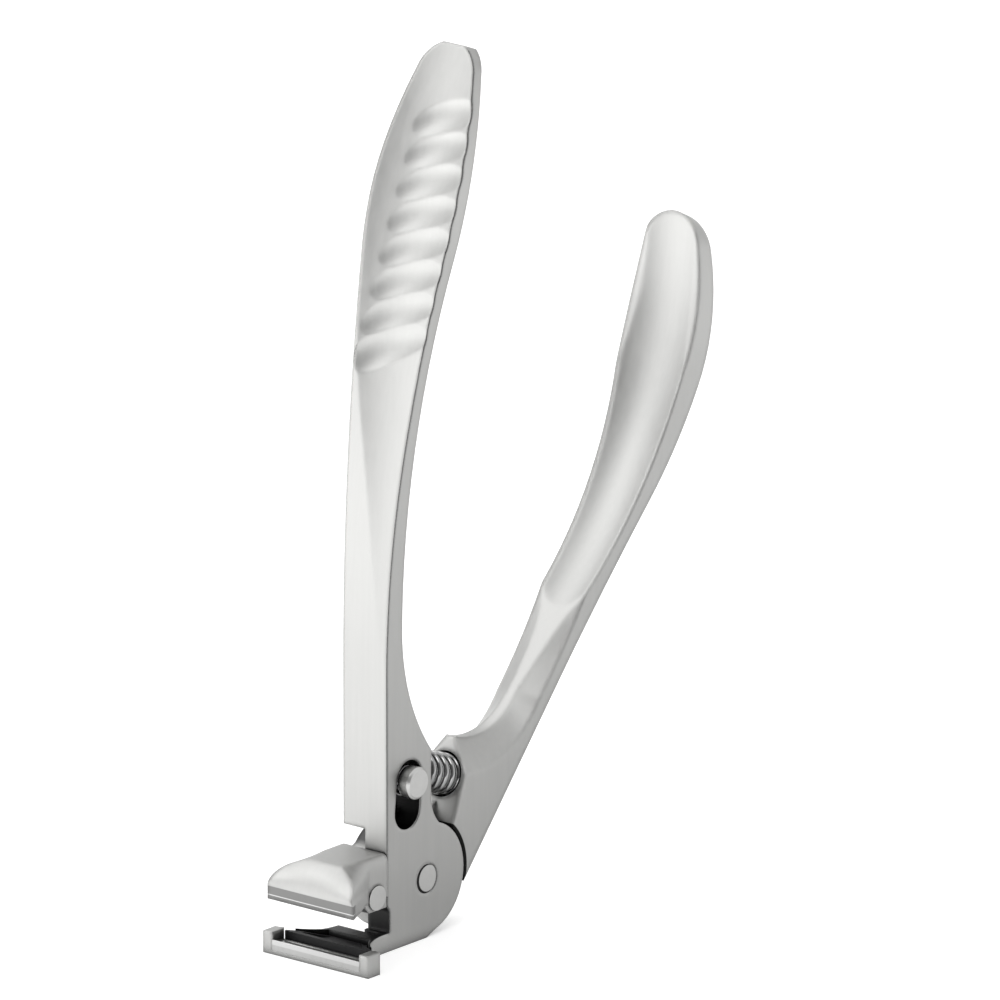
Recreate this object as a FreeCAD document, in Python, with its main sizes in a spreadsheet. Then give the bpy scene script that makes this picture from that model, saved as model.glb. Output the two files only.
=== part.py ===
"""Plier-type toenail clipper: two half-lapped levers, hooded upper jaw, lower jaw with blade, spring, lock.

The model is drawn round the pivot axis, which runs along Y. The jaws point to -X, the handles rise along +Z
and the cheek with the lock slot is on the -Y side. At the end all pieces move together, so that the part
stands on the middle of the underside of its own box.
"""

import FreeCAD, Part
import math
import os
import Sketcher

Vector = FreeCAD.Vector
Rotation = FreeCAD.Rotation
Placement = FreeCAD.Placement

SIZES = [
    # joint
    ("body_width", 8.1, "width of both levers at the pivot"),
    ("lap_gap", 0.1, "gap between the two lapped halves"),
    ("disc_radius", 8.4, "round of each lapped half about the pivot"),
    ("disc_gap", 0.35, "gap between a round and the shoulder that it turns in"),
    ("press_gap", 0.02, "gap all round a pressed-in piece"),
    ("run_gap", 0.05, "radial gap of a running fit"),
    ("pivot_diameter", 4.35, "pivot rivet"),
    ("pivot_head_diameter", 6.2, "head of the pivot rivet, on the far face"),
    ("pivot_head_height", 0.9, "head of the pivot rivet"),
    ("cut_over", 2.0, "overrun of cuts past a face"),
    # fixed lever, side view
    ("front_reach", 9.0, "front flat, ahead of the pivot axis"),
    ("near_foot", 2.2, "lower end of the front flat on the near half, below the pivot axis"),
    ("far_foot", 9.0, "height of the shoulder on the far half"),
    ("cheek_back", 1.1, "back edge of the cheek, behind the pivot axis"),
    ("cheek_low", 12.6, "lower end of the straight back edge"),
    ("cheek_high", 19.4, "upper end of the straight back edge"),
    ("cheek_flare", 6.0, "hollow round between the back edge and the disc"),
    ("waist_height", 38.8, "height of the thinnest place of the fixed lever"),
    ("waist_thick", 3.6, "thickness of the fixed lever there"),
    ("waist_round", 32.0, "hollow round between the waist and the cheek"),
    ("bend_height", 35.0, "height at which the front starts to lean back"),
    ("bend_round", 208.0, "radius of the lean of the front"),
    ("fixed_tip", 122.9, "height of the tip of the fixed lever"),
    ("fixed_tip_thick", 2.3, "thickness at that tip"),
    # fixed lever, front view
    ("fixed_paddle_width", 15.0, "widest place of the grip"),
    ("fixed_grow_height", 36.0, "height at which the grip starts to widen"),
    ("fixed_wide_height", 94.0, "height of the widest place"),
    ("fixed_grow_round", 470.0, "hollow round of the widening sides"),
    ("fixed_side_round", 62.0, "round of the sides between the widest place and the tip"),
    ("fixed_tip_round", 5.2, "round of the tip"),
    # thumb scoop with its flutes
    ("scoop_round", 26.0, "radius of the hollow across the grip"),
    ("scoop_chord", 28.0, "width of the cutter that makes the hollow"),
    ("scoop_low", 26.0, "height at which the cutter starts"),
    ("scoop_high", 126.0, "height at which the cutter ends"),
    ("scoop_depth", 1.2, "depth of the hollow under the flutes"),
    ("scoop_side", 6.3, "middle of the hollow at its lower end, toward the near side"),
    ("flute_round", 6.0, "round across a flute; the ridges are what stands between the flutes"),
    ("flute_depth", 0.42, "depth of a flute"),
    ("flute_ring", 10.0, "bend of a flute along its length"),
    ("flute_tilt", 45.0, "turn of that bend out of the face, in degrees"),
    ("flute_pitch", 4.7, "step from flute to flute along the grip"),
    ("flute_count", 8.0, "flutes"),
    ("flute_skew", 30.0, "lean of the flutes, in degrees"),
    ("flute_tail", 7.0, "length of a flute on the far side of its deepest place"),
    ("flute_head", 6.0, "length of a flute on the near side of its deepest place"),
    ("flute_side", 0.8, "deepest place of the flutes, toward the near side"),
    ("flute_first", 81.4, "height of the lowest flute"),
    # lower jaw
    ("jaw_front", 20.2, "front face of the lower jaw, ahead of the pivot axis"),
    ("jaw_width", 19.8, "lower jaw"),
    ("jaw_floor", 9.0, "underside, below the pivot axis"),
    ("floor_thick", 1.4, "floor of the lower jaw"),
    ("lug_height", 3.3, "corner lugs above the underside"),
    ("bar_depth", 2.7, "front bar, front to back"),
    ("wall_thick", 1.3, "side walls of the lower jaw"),
    ("blade_room", 0.325, "clear space behind the bar, over the blade"),
    ("root_reach", 10.2, "back end of the lower jaw, ahead of the pivot axis"),
    ("sweep_round", 8.0, "hollow sweep of the sides"),
    ("wall_run", 4.5, "length over which the walls fall toward the back"),
    ("wall_low", 1.4, "walls above the floor, at the back"),
    ("web_reach", 12.6, "back wall of the hollow, ahead of the pivot axis"),
    ("blade_depth", 2.0, "lower blade, front to back"),
    ("blade_seat", 0.7, "lip under the lower blade"),
    ("blade_width", 16.4, "lower blade"),
    ("blade_bevel", 0.5, "fall of the top of the blade, front to back"),
    ("liner_thick", 0.6, "floor of the catch liner"),
    ("liner_gap", 0.3, "gap round the catch liner"),
    ("liner_rim", 0.9, "rim of the catch liner above its floor"),
    ("liner_wall", 0.7, "rim of the catch liner at its front"),
    ("liner_room_front", 11.6, "inside of the catch liner, across its front"),
    ("liner_room_back", 5.2, "inside of the catch liner, across its back"),
    ("liner_back", 12.9, "back end of the catch liner, ahead of the pivot axis"),
    # upper jaw
    ("edge_radius", 21.3, "both cutting edges, from the pivot axis"),
    ("edge_drop", 0.2, "upper edge at rest, below the pivot axis"),
    ("edge_land", 0.15, "width of the cutting edge"),
    ("hood_width", 16.2, "upper jaw"),
    ("rim_height", 2.0, "front rim of the upper jaw"),
    ("hood_top", 6.1, "top of the hood, above the pivot axis"),
    ("hood_setback", 4.8, "front corners at the top of the hood, behind the cutting edge"),
    ("hood_swell", 1.1, "forward swell of the front at the top of the hood"),
    ("hood_waist", 13.6, "place at which the slanted ends meet the block, ahead of the pivot axis"),
    ("hood_back", 9.35, "back face of the hood, ahead of the pivot axis"),
    ("hood_wall", 1.4, "front wall of the hood"),
    ("hood_roof", 1.7, "underside of the roof, above the pivot axis"),
    ("hood_side", 1.5, "end walls of the hood"),
    ("block_width", 9.2, "block behind the hood"),
    ("block_back", 9.7, "back face of the block, ahead of the pivot axis"),
    ("flank_top", 4.9, "top of the neck at the back of the hood"),
    ("block_low", 1.8, "underside of the block, below the pivot axis"),
    ("jaw_rivet_diameter", 3.7, "jaw rivet"),
    ("jaw_rivet_proud", 0.15, "jaw rivet beyond the block, at each end"),
    ("jaw_rivet_reach", 11.8, "jaw rivet, ahead of the pivot axis"),
    ("jaw_rivet_rise", 0.1, "jaw rivet, above the pivot axis"),
    ("neck_thick", 4.6, "neck of the squeeze lever, bottom to top"),
    ("neck_end", 14.6, "front end of the neck, ahead of the pivot axis"),
    ("neck_round", 5.0, "hollow round between the neck and the disc"),
    # squeeze lever, side view
    ("lever_lean", 40.8, "lean of the straight outer edge, in degrees"),
    ("link_run", 2.8, "hold of the disc's link on the straight edge"),
    ("heel_turn", 16.0, "start of the outer edge on the shoulder round, below level, in degrees"),
    ("lever_straight", 63.5, "straight outer edge"),
    ("lever_round", 58.0, "round of the outer edge above it"),
    ("lever_turn", 44.0, "turn of that round, in degrees"),
    ("lever_tip_thick", 2.8, "thickness at the tip of the squeeze lever"),
    ("lever_mid_thick", 5.4, "thickness where the round starts"),
    ("lever_hollow", 100.0, "hollow round of the inner face below that place"),
    ("lever_low_thick", 3.8, "thickness above the shoulder"),
    ("lever_low_run", 29.0, "place of that thickness along the straight edge"),
    ("throat_round", 12.3, "hollow round between the grip and the lug"),
    ("lug_face", 9.7, "face that takes the spring, bottom to top"),
    ("gable_ridge", 0.8, "half width of the ridge behind the lug"),
    ("gable_drop", 5.0, "fall of the lug's corners below its top, along its face"),
    ("gable_edge", 2.0, "thickness of the lever's edges above the shoulder"),
    ("gable_round", 20.0, "hollow round of those edges toward the lug"),
    ("gable_run", 52.0, "place at which the slopes beside the ridge run out"),
    ("gable_top", 4.2, "height of the slopes there, above the outer edge"),
    ("lug_foot_x", 7.2, "lower end of that face, behind the pivot axis"),
    ("lug_foot_z", 9.3, "lower end of that face, above the pivot axis"),
    ("shoulder_turn", 47.0, "end of the shoulder round, above level, in degrees"),
    # squeeze lever, face view
    ("view_lean", 28.0, "lean of the plane in which the grip is outlined, in degrees"),
    ("lever_paddle_width", 12.4, "widest place of the grip"),
    ("lever_grow_run", 34.0, "place at which the grip starts to widen, along that plane"),
    ("lever_wide_run", 82.0, "place of the widest spot, along that plane"),
    ("lever_grow_round", 540.0, "hollow round of the widening sides"),
    ("lever_tip_run", 105.2, "tip, along that plane"),
    ("lever_tip_round", 5.0, "round of the tip"),
    ("lever_side_round", 60.0, "round of the sides between the widest spot and the tip"),
    ("dish_round", 14.0, "radius of the hollow across the inner face"),
    ("dish_depth", 1.2, "depth of that hollow"),
    ("dish_run", 72.0, "radius of that hollow along the grip"),
    # lock
    ("slot_width", 5.6, "lock slot"),
    ("slot_length", 10.4, "lock slot, end to end"),
    ("slot_foot_x", 4.6, "lower end of the slot, ahead of the pivot axis"),
    ("slot_foot_z", 8.6, "lower end of the slot, above the pivot axis"),
    ("slot_lean", 5.4, "lean of the slot, in degrees"),
    ("button_diameter", 4.8, "lock button"),
    ("button_proud", 1.9, "button above the near face"),
    ("button_rim", 0.35, "bevel of the button's face"),
    ("shank_diameter", 3.0, "shank of the button"),
    ("collar_thick", 0.5, "collar that carries the lock spring"),
    ("lock_travel", 4.6, "way of the lock along the slot"),
    ("latch_width", 1.3, "latch below the shank"),
    ("latch_drop", 1.95, "end of the latch, below the shank's axis"),
    ("latch_side", 0.1, "latch toward the handles, off the shank's axis"),
    ("latch_gap", 0.1, "gap between the latch and the lap face"),
    ("catch_width", 1.2, "catch on the disc of the squeeze lever"),
    ("catch_height", 2.5, "catch above the disc"),
    ("catch_turn", 14.6, "catch ahead of upright, in degrees"),
    ("catch_bay", 5.9, "bay for the catch in the far half"),
    ("catch_bay_top", 12.4, "top of that bay"),
    ("retainer_diameter", 7.2, "retainer on the far face"),
    ("retainer_thick", 0.8, "retainer on the far face"),
    # springs
    ("spring_diameter", 6.3, "return spring, outside"),
    ("spring_wire", 0.85, "return spring wire"),
    ("spring_turns", 6.5, "return spring turns"),
    ("spring_tilt", 19.5, "fall of the spring's axis toward the squeeze lever, in degrees"),
    ("seat_gap", 0.25, "gap between the spring and its pockets"),
    ("seat_ease", 0.12, "gap between a spring's ends and its seats"),
    ("seat_fixed", 1.0, "depth of the spring pocket in the fixed lever"),
    ("seat_lever", 2.1, "depth of the spring pocket in the squeeze lever"),
    ("seat_up", 4.0, "spring's axis, along the lug face from its foot"),
    ("ring_wire", 0.5, "lock spring wire"),
    ("ring_turns", 2.5, "lock spring turns"),
]


class Dim:
    """A size that keeps its number together with the sheet formula that gives it."""

    def __init__(self, value, formula):
        self.value = float(value)
        self.formula = formula

    def __add__(self, other):
        other = dim(other)
        return Dim(self.value + other.value, f"({self.formula} + {other.formula})")

    def __sub__(self, other):
        other = dim(other)
        return Dim(self.value - other.value, f"({self.formula} - {other.formula})")

    def __mul__(self, other):
        other = dim(other)
        return Dim(self.value * other.value, f"({self.formula} * {other.formula})")

    def __truediv__(self, other):
        other = dim(other)
        return Dim(self.value / other.value, f"({self.formula} / {other.formula})")

    def __neg__(self):
        return Dim(-self.value, f"(-{self.formula})")

    def __float__(self):
        return self.value


def dim(number):
    return number if isinstance(number, Dim) else Dim(number, repr(float(number)))


def sine(degrees):
    return Dim(math.sin(math.radians(degrees.value)), f"sin({degrees.formula})")


def cosine(degrees):
    return Dim(math.cos(math.radians(degrees.value)), f"cos({degrees.formula})")


def root(number):
    return Dim(math.sqrt(number.value), f"sqrt({number.formula})")


ZERO = dim(0)

doc = FreeCAD.newDocument("toenail_clipper")
sheet = doc.addObject("Spreadsheet::Sheet", "Sizes")
S = {}
for row, (alias, number, meaning) in enumerate(SIZES, start=1):
    sheet.set(f"A{row}", meaning)
    sheet.set(f"B{row}", str(number))
    sheet.setAlias(f"B{row}", alias)
    S[alias] = Dim(number, f"Sizes.{alias}")
doc.recompute()


# Building blocks


def polar(radius, degrees):
    """Point of a circle about the pivot axis, its angle counted from +X toward +Z."""
    return radius * cosine(degrees), radius * sine(degrees)


def new_body(name):
    body = doc.addObject("PartDesign::Body", name)
    body.Label = name
    return body


def bind(thing, prop, size):
    thing.setExpression(prop, size.formula)


def attach(thing, body, plane, offset=ZERO, turn=None, shift=None):
    """Lay a feature on an origin plane of its body, moved along its normal, turned about its first axis."""
    origin = next(f for f in body.Origin.OriginFeatures if f.Role == plane)
    thing.AttachmentSupport = [(origin, "")]
    thing.MapMode = "FlatFace"
    if turn is not None:
        thing.AttachmentOffset = Placement(Vector(), Rotation(Vector(1, 0, 0), turn.value))
        bind(thing, "AttachmentOffset.Rotation.Angle", turn)
    if shift is not None:
        bind(thing, "AttachmentOffset.Base.x", shift[0])
        bind(thing, "AttachmentOffset.Base.y", shift[1])
    bind(thing, "AttachmentOffset.Base.z", offset)


def arc_between(start, end, radius, sense):
    """Short arc from start to end: sense 1 turns left on the way, -1 turns right."""
    chord = end - start
    half = chord.Length / 2
    lift = math.sqrt(max(radius**2 - half**2, 0))
    left = Vector(-chord.y, chord.x, 0).normalize()
    centre = (start + end) / 2 + left * (lift * sense)
    first, last = (start, end) if sense > 0 else (end, start)
    angles = [math.atan2(p.y - centre.y, p.x - centre.x) for p in (first, last)]
    if angles[1] < angles[0]:
        angles[1] += 2 * math.pi
    return Part.ArcOfCircle(Part.Circle(centre, Vector(0, 0, 1), radius), *angles)


def pin_point(sketch, geometry, end, x, y):
    """Tie one point of a sketch to two sizes."""
    for kind, size in (("DistanceX", x), ("DistanceY", y)):
        place = sketch.addConstraint(Sketcher.Constraint(kind, -1, 1, geometry, end, size.value))
        bind(sketch, f"Constraints[{place}]", size)


def draw_loop(sketch, corners):
    """Closed outline. A corner is (x, y), reached by a line, or (x, y, radius, sense), reached by an arc."""
    points = [Vector(c[0].value, c[1].value, 0) for c in corners]
    starts, ends, first = [], [], sketch.GeometryCount
    for i, corner in enumerate(corners):
        start, end = points[i - 1], points[i]
        if len(corner) == 2:
            sketch.addGeometry(Part.LineSegment(start, end), False)
        else:
            sketch.addGeometry(arc_between(start, end, corner[2].value, corner[3]), False)
        backward = len(corner) == 4 and corner[3] < 0
        starts.append(2 if backward else 1)
        ends.append(1 if backward else 2)
    for i, corner in enumerate(corners):
        after = (i + 1) % len(corners)
        joint = Sketcher.Constraint("Coincident", first + i, ends[i], first + after, starts[after])
        sketch.addConstraint(joint)
    for i, corner in enumerate(corners):
        pin_point(sketch, first + i, ends[i], corner[0], corner[1])
        if len(corner) == 4:
            place = sketch.addConstraint(Sketcher.Constraint("Radius", first + i, corner[2].value))
            bind(sketch, f"Constraints[{place}]", corner[2])


def draw_circle(sketch, x, y, radius):
    place = sketch.addGeometry(Part.Circle(Vector(x.value, y.value, 0), Vector(0, 0, 1), radius.value), False)
    pin_point(sketch, place, 3, x, y)
    number = sketch.addConstraint(Sketcher.Constraint("Radius", place, radius.value))
    bind(sketch, f"Constraints[{number}]", radius)


def new_sketch(body, name, plane, offset=ZERO, turn=None):
    sketch = body.newObject("Sketcher::SketchObject", name)
    attach(sketch, body, plane, offset, turn)
    return sketch


def outline(body, name, plane, loops, offset=ZERO, turn=None):
    sketch = new_sketch(body, name, plane, offset, turn)
    for corners in loops:
        draw_loop(sketch, corners)
    return sketch


def circle(body, name, plane, x, y, radius, offset=ZERO):
    sketch = new_sketch(body, name, plane, offset)
    draw_circle(sketch, x, y, radius)
    return sketch


def pad(body, sketch, length, both_ways=False, reverse=False):
    feature = body.newObject("PartDesign::Pad", f"{sketch.Name}_pad")
    feature.Profile = sketch
    feature.Midplane = both_ways
    feature.Reversed = reverse
    bind(feature, "Length", length)
    return feature


def pocket(body, sketch, length=None, both_ways=False, reverse=False):
    """Cut a sketch away, all through if no length is given."""
    feature = body.newObject("PartDesign::Pocket", f"{sketch.Name}_cut")
    feature.Profile = sketch
    feature.Midplane = both_ways
    feature.Reversed = reverse
    if length is None:
        feature.Type = "ThroughAll"
    else:
        bind(feature, "Length", length)
    return feature


def revolve(body, sketch, axis, cut=False):
    """Turn a sketch once round one of its own axes."""
    kind = "PartDesign::Groove" if cut else "PartDesign::Revolution"
    feature = body.newObject(kind, f"{sketch.Name}_turn")
    feature.Profile = sketch
    feature.ReferenceAxis = (sketch, [axis])
    feature.Angle = 360
    return feature


def box_loop(x0, y0, x1, y1):
    return [(x0, y0), (x1, y0), (x1, y1), (x0, y1)]


# Values that several pieces share

half_width = S["body_width"] / 2
lap_half = S["lap_gap"] / 2
half_thick = half_width - lap_half
shoulder = S["disc_radius"] + S["disc_gap"]
over = S["cut_over"]

floor_top = S["floor_thick"] - S["jaw_floor"]
wall_top = floor_top + S["wall_low"]
lug_top = S["lug_height"] - S["jaw_floor"]
blade_foot = S["blade_seat"] - S["jaw_floor"]
blade_back = S["blade_depth"] - S["jaw_front"]
lower_edge = -root(S["edge_radius"] * S["edge_radius"] - S["jaw_front"] * S["jaw_front"])
upper_edge = root(S["edge_radius"] * S["edge_radius"] - S["edge_drop"] * S["edge_drop"])

# Spring axis: square to the lug face, through a point on that face
tilt_x, tilt_z = sine(S["spring_tilt"]), cosine(S["spring_tilt"])
face_x = S["lug_foot_x"] + S["seat_up"] * tilt_x
face_z = S["lug_foot_z"] + S["seat_up"] * tilt_z
lever_seat_x = face_x + S["seat_lever"] * tilt_z
lever_seat_z = face_z - S["seat_lever"] * tilt_x
fixed_seat_x = S["cheek_back"] - S["seat_fixed"]
fixed_seat_z = lever_seat_z + (lever_seat_x - fixed_seat_x) * tilt_x / tilt_z
spring_room = (lever_seat_x - fixed_seat_x) / tilt_z
pocket_radius = S["spring_diameter"] / 2 + S["seat_gap"]

# Lock slot: its lower end, its direction and the two places of the button on it
slot_x, slot_z = sine(S["slot_lean"]), cosine(S["slot_lean"])
slot_round = S["slot_width"] / 2


def along_slot(distance):
    return distance * slot_x - S["slot_foot_x"], distance * slot_z + S["slot_foot_z"]


button_run = S["slot_length"] - S["slot_width"] / 2 - (S["slot_width"] - S["button_diameter"]) / 2
button_x, button_z = along_slot(button_run)


# Fixed lever: left grip, near cheek with its disc, lower jaw

# The round of a grip's tip is a little wider than half its chord, and stands this far above the chord
ROUND_SHARE = 1.02
CAP_SHARE = ROUND_SHARE - math.sqrt(ROUND_SHARE**2 - 1)


def grip_outline(half_low, half_wide, low, grow, wide, tip, grow_round, side_round, tip_round, reach):
    """Face view of a grip as a hole in a wide frame: what lies between the two is cut away."""
    cap = tip - tip_round * CAP_SHARE
    frame = box_loop(-reach, low, reach, tip + reach)
    grip = [
        (-half_low, low + over),
        (half_low, low + over),
        (half_low, grow),
        (half_wide, wide, grow_round, -1),
        (tip_round, cap, side_round, 1),
        (-tip_round, cap, tip_round * ROUND_SHARE, 1),
        (-half_wide, wide, side_round, 1),
        (-half_low, grow, grow_round, -1),
    ]
    return [frame, grip]


def fixed_side_view():
    rise = S["fixed_tip"] - S["bend_height"]
    flat = root(S["bend_round"] * S["bend_round"] - rise * rise)
    tip_x = S["bend_round"] - S["front_reach"] - flat
    back_x = tip_x + S["fixed_tip_thick"] * flat / S["bend_round"]
    back_z = S["fixed_tip"] - S["fixed_tip_thick"] * rise / S["bend_round"]
    return [
        (-S["front_reach"], S["far_foot"]),
        (-S["front_reach"], S["bend_height"]),
        (tip_x, S["fixed_tip"], S["bend_round"], -1),
        (back_x, back_z),
        (S["waist_thick"] - S["front_reach"], S["waist_height"], S["bend_round"] - S["fixed_tip_thick"], 1),
        (S["cheek_back"], S["cheek_high"], S["waist_round"], 1),
        (S["cheek_back"], S["far_foot"]),
    ]


# Places on the disc, in degrees from +X toward +Z
DISC_FOOT, DISC_BACK, DISC_NECK = (dim(a) for a in (285, 70, 124))


def fixed_cheek_view():
    """Near half below the grip: cheek, disc and the web that runs forward under the disc."""
    front = -S["front_reach"]
    return [
        (front, S["cheek_low"]),
        (front, -S["near_foot"]),
        (-S["disc_radius"], -S["near_foot"] - (S["front_reach"] - S["disc_radius"])),
        (-S["disc_radius"], wall_top),
        (-S["web_reach"], wall_top),
        (-S["web_reach"], -S["jaw_floor"]),
        (ZERO, -S["jaw_floor"]),
        polar(S["disc_radius"], DISC_FOOT),
        (*polar(S["disc_radius"], DISC_BACK), S["disc_radius"], 1),
        (S["cheek_back"], S["cheek_low"], S["cheek_flare"], -1),
    ]


def jaw_plan(front, half, bar, back, half_back, sweep):
    """Top view of the lower jaw: wide bar in front, sides that sweep in to the root."""
    return [
        (-front, -half),
        (bar - front, -half),
        (-back, -half_back, sweep, -1),
        (-back, half_back),
        (bar - front, half, sweep, -1),
        (-front, half),
    ]


def hollow_plan(ease):
    """Top view of the hollow in the lower jaw, or of a piece that lies in it with some ease all round."""
    return jaw_plan(
        S["jaw_front"] - S["bar_depth"] - ease,
        S["jaw_width"] / 2 - S["wall_thick"] - ease,
        S["wall_thick"] / 2 - ease,
        S["root_reach"] - over / 2,
        half_width - S["wall_thick"] - ease,
        S["sweep_round"] + S["wall_thick"],
    )


def slot_view():
    """Oblong with round ends, leaning with the slot."""
    side_x, side_z = slot_round * slot_z, slot_round * slot_x
    low_x, low_z = along_slot(slot_round)
    high_x, high_z = along_slot(S["slot_length"] - slot_round)
    top_x, top_z = along_slot(S["slot_length"])
    foot_x, foot_z = along_slot(ZERO)
    return [
        (low_x - side_x, low_z + side_z),
        (foot_x, foot_z, slot_round, 1),
        (low_x + side_x, low_z - side_z, slot_round, 1),
        (high_x + side_x, high_z - side_z),
        (top_x, top_z, slot_round, 1),
        (high_x - side_x, high_z + side_z, slot_round, 1),
    ]


def spring_pocket(body, name, seat_x, seat_z, direction):
    """Round pocket along the spring's axis, open toward the other lever."""
    length = S["seat_fixed"] + S["seat_lever"] + over
    end_x = seat_x + length * tilt_z * direction
    end_z = seat_z - length * tilt_x * direction
    out_x, out_z = pocket_radius * tilt_x, pocket_radius * tilt_z
    loop = [
        (seat_x, seat_z),
        (end_x, end_z),
        (end_x + out_x, end_z + out_z),
        (seat_x + out_x, seat_z + out_z),
    ]
    sketch = outline(body, name, "XZ_Plane", [loop])
    axis = sketch.addGeometry(
        Part.LineSegment(Vector(seat_x.value, seat_z.value, 0), Vector(end_x.value, end_z.value, 0)), True
    )
    pin_point(sketch, axis, 1, seat_x, seat_z)
    pin_point(sketch, axis, 2, end_x, end_z)
    return revolve(body, sketch, "Axis0", cut=True)


# Heights along the hollow, with the depth and the sideways place that it has there
SCOOP_SHARES = (0.0, 0.14, 0.34, 0.54, 0.74, 0.92, 1.0)
DEPTH_SHARES = (-0.08, 0.2, 0.55, 0.9, 1.0, 0.95, 0.45)
SIDE_SHARES = (1.0, 0.94, 0.78, 0.3, 0.03, 0.0, 0.0)


def front_at(height):
    """Front of the grip at one height: upright below the bend, round above it."""
    if height.value <= S["bend_height"].value:
        return -S["front_reach"]
    rise = height - S["bend_height"]
    return S["bend_round"] - S["front_reach"] - root(S["bend_round"] * S["bend_round"] - rise * rise)


def grip_scoop(body):
    """Hollow for the thumb: in over the near edge, across the grip as it rises, full width at its end."""
    sections = []
    half = S["scoop_chord"] / 2
    sag = S["scoop_round"] - root(S["scoop_round"] * S["scoop_round"] - half * half)
    for i, share in enumerate(SCOOP_SHARES):
        height = S["scoop_low"] + (S["scoop_high"] - S["scoop_low"]) * share
        edge = front_at(height) + S["scoop_depth"] * DEPTH_SHARES[i] - sag
        middle = -S["scoop_side"] * SIDE_SHARES[i]
        loop = [
            (edge - over, middle - half),
            (edge, middle - half),
            (edge, middle + half, S["scoop_round"], 1),
            (edge - over, middle + half),
        ]
        sections.append(outline(body, f"scoop_{i}", "XY_Plane", [loop], height))
    scoop = body.newObject("PartDesign::SubtractiveLoft", "grip_scoop")
    scoop.Profile = sections[0]
    scoop.Sections = sections[1:]
    doc.recompute()
    return scoop


def grip_flutes(body):
    """Slanted ridges, left between bent flutes: one flute is drawn, the rest repeat along the bend."""
    floor_radius = S["bend_round"] - S["scoop_depth"]
    tail = math.degrees(S["flute_tail"].value / S["flute_ring"].value)
    head = math.degrees(S["flute_head"].value / S["flute_ring"].value)
    first = math.degrees((S["flute_first"] - S["bend_height"]).value / floor_radius.value)
    centre = (S["bend_round"] - S["front_reach"], S["bend_height"])
    rise = floor_radius + S["flute_round"] - S["flute_depth"]

    axis = new_sketch(body, "flute_axis", "XZ_Plane")
    attach(axis, body, "XZ_Plane", shift=centre)
    draw_circle(axis, ZERO, ZERO, S["flute_round"])
    doc.recompute()

    flute = body.newObject("PartDesign::SubtractiveTorus", "grip_flute")
    bind(flute, "Radius1", S["flute_ring"])
    bind(flute, "Radius2", S["flute_round"])
    flute.Angle3 = tail + head
    around = Rotation(Vector(0, 0, 1), -first)
    lay = Placement(Vector(centre[0].value, centre[1].value, S["flute_side"].value), around)
    lay = lay * Placement(Vector(-rise.value, 0, 0), Rotation(Vector(1, 0, 0), 90 - S["flute_skew"].value))
    lay = lay * Placement(Vector(), Rotation(Vector(0, 1, 0), S["flute_tilt"].value))
    lay = lay * Placement(Vector(-S["flute_ring"].value, 0, 0), Rotation(Vector(0, 0, 1), -tail))
    attach(flute, body, "XZ_Plane")
    flute.setExpression("AttachmentOffset.Base.z", None)
    flute.AttachmentOffset = lay
    doc.recompute()

    pattern = body.newObject("PartDesign::PolarPattern", "grip_flutes")
    pattern.Originals = [flute]
    pattern.Axis = (axis, ["N_Axis"])
    pattern.Reversed = True
    steps = S["flute_count"] - 1
    pattern.Angle = math.degrees((S["flute_pitch"] * steps).value / floor_radius.value)
    pattern.Occurrences = int(S["flute_count"].value)
    body.Tip = pattern
    return pattern


def grip_back_view():
    """All that lies behind the grip, above the waist."""
    tip, waist = fixed_side_view()[3], fixed_side_view()[4]
    far = tip[0] + S["fixed_paddle_width"]
    return [waist, (far, waist[1]), (far, S["fixed_tip"] + over), (tip[0], S["fixed_tip"] + over), tip]


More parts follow.
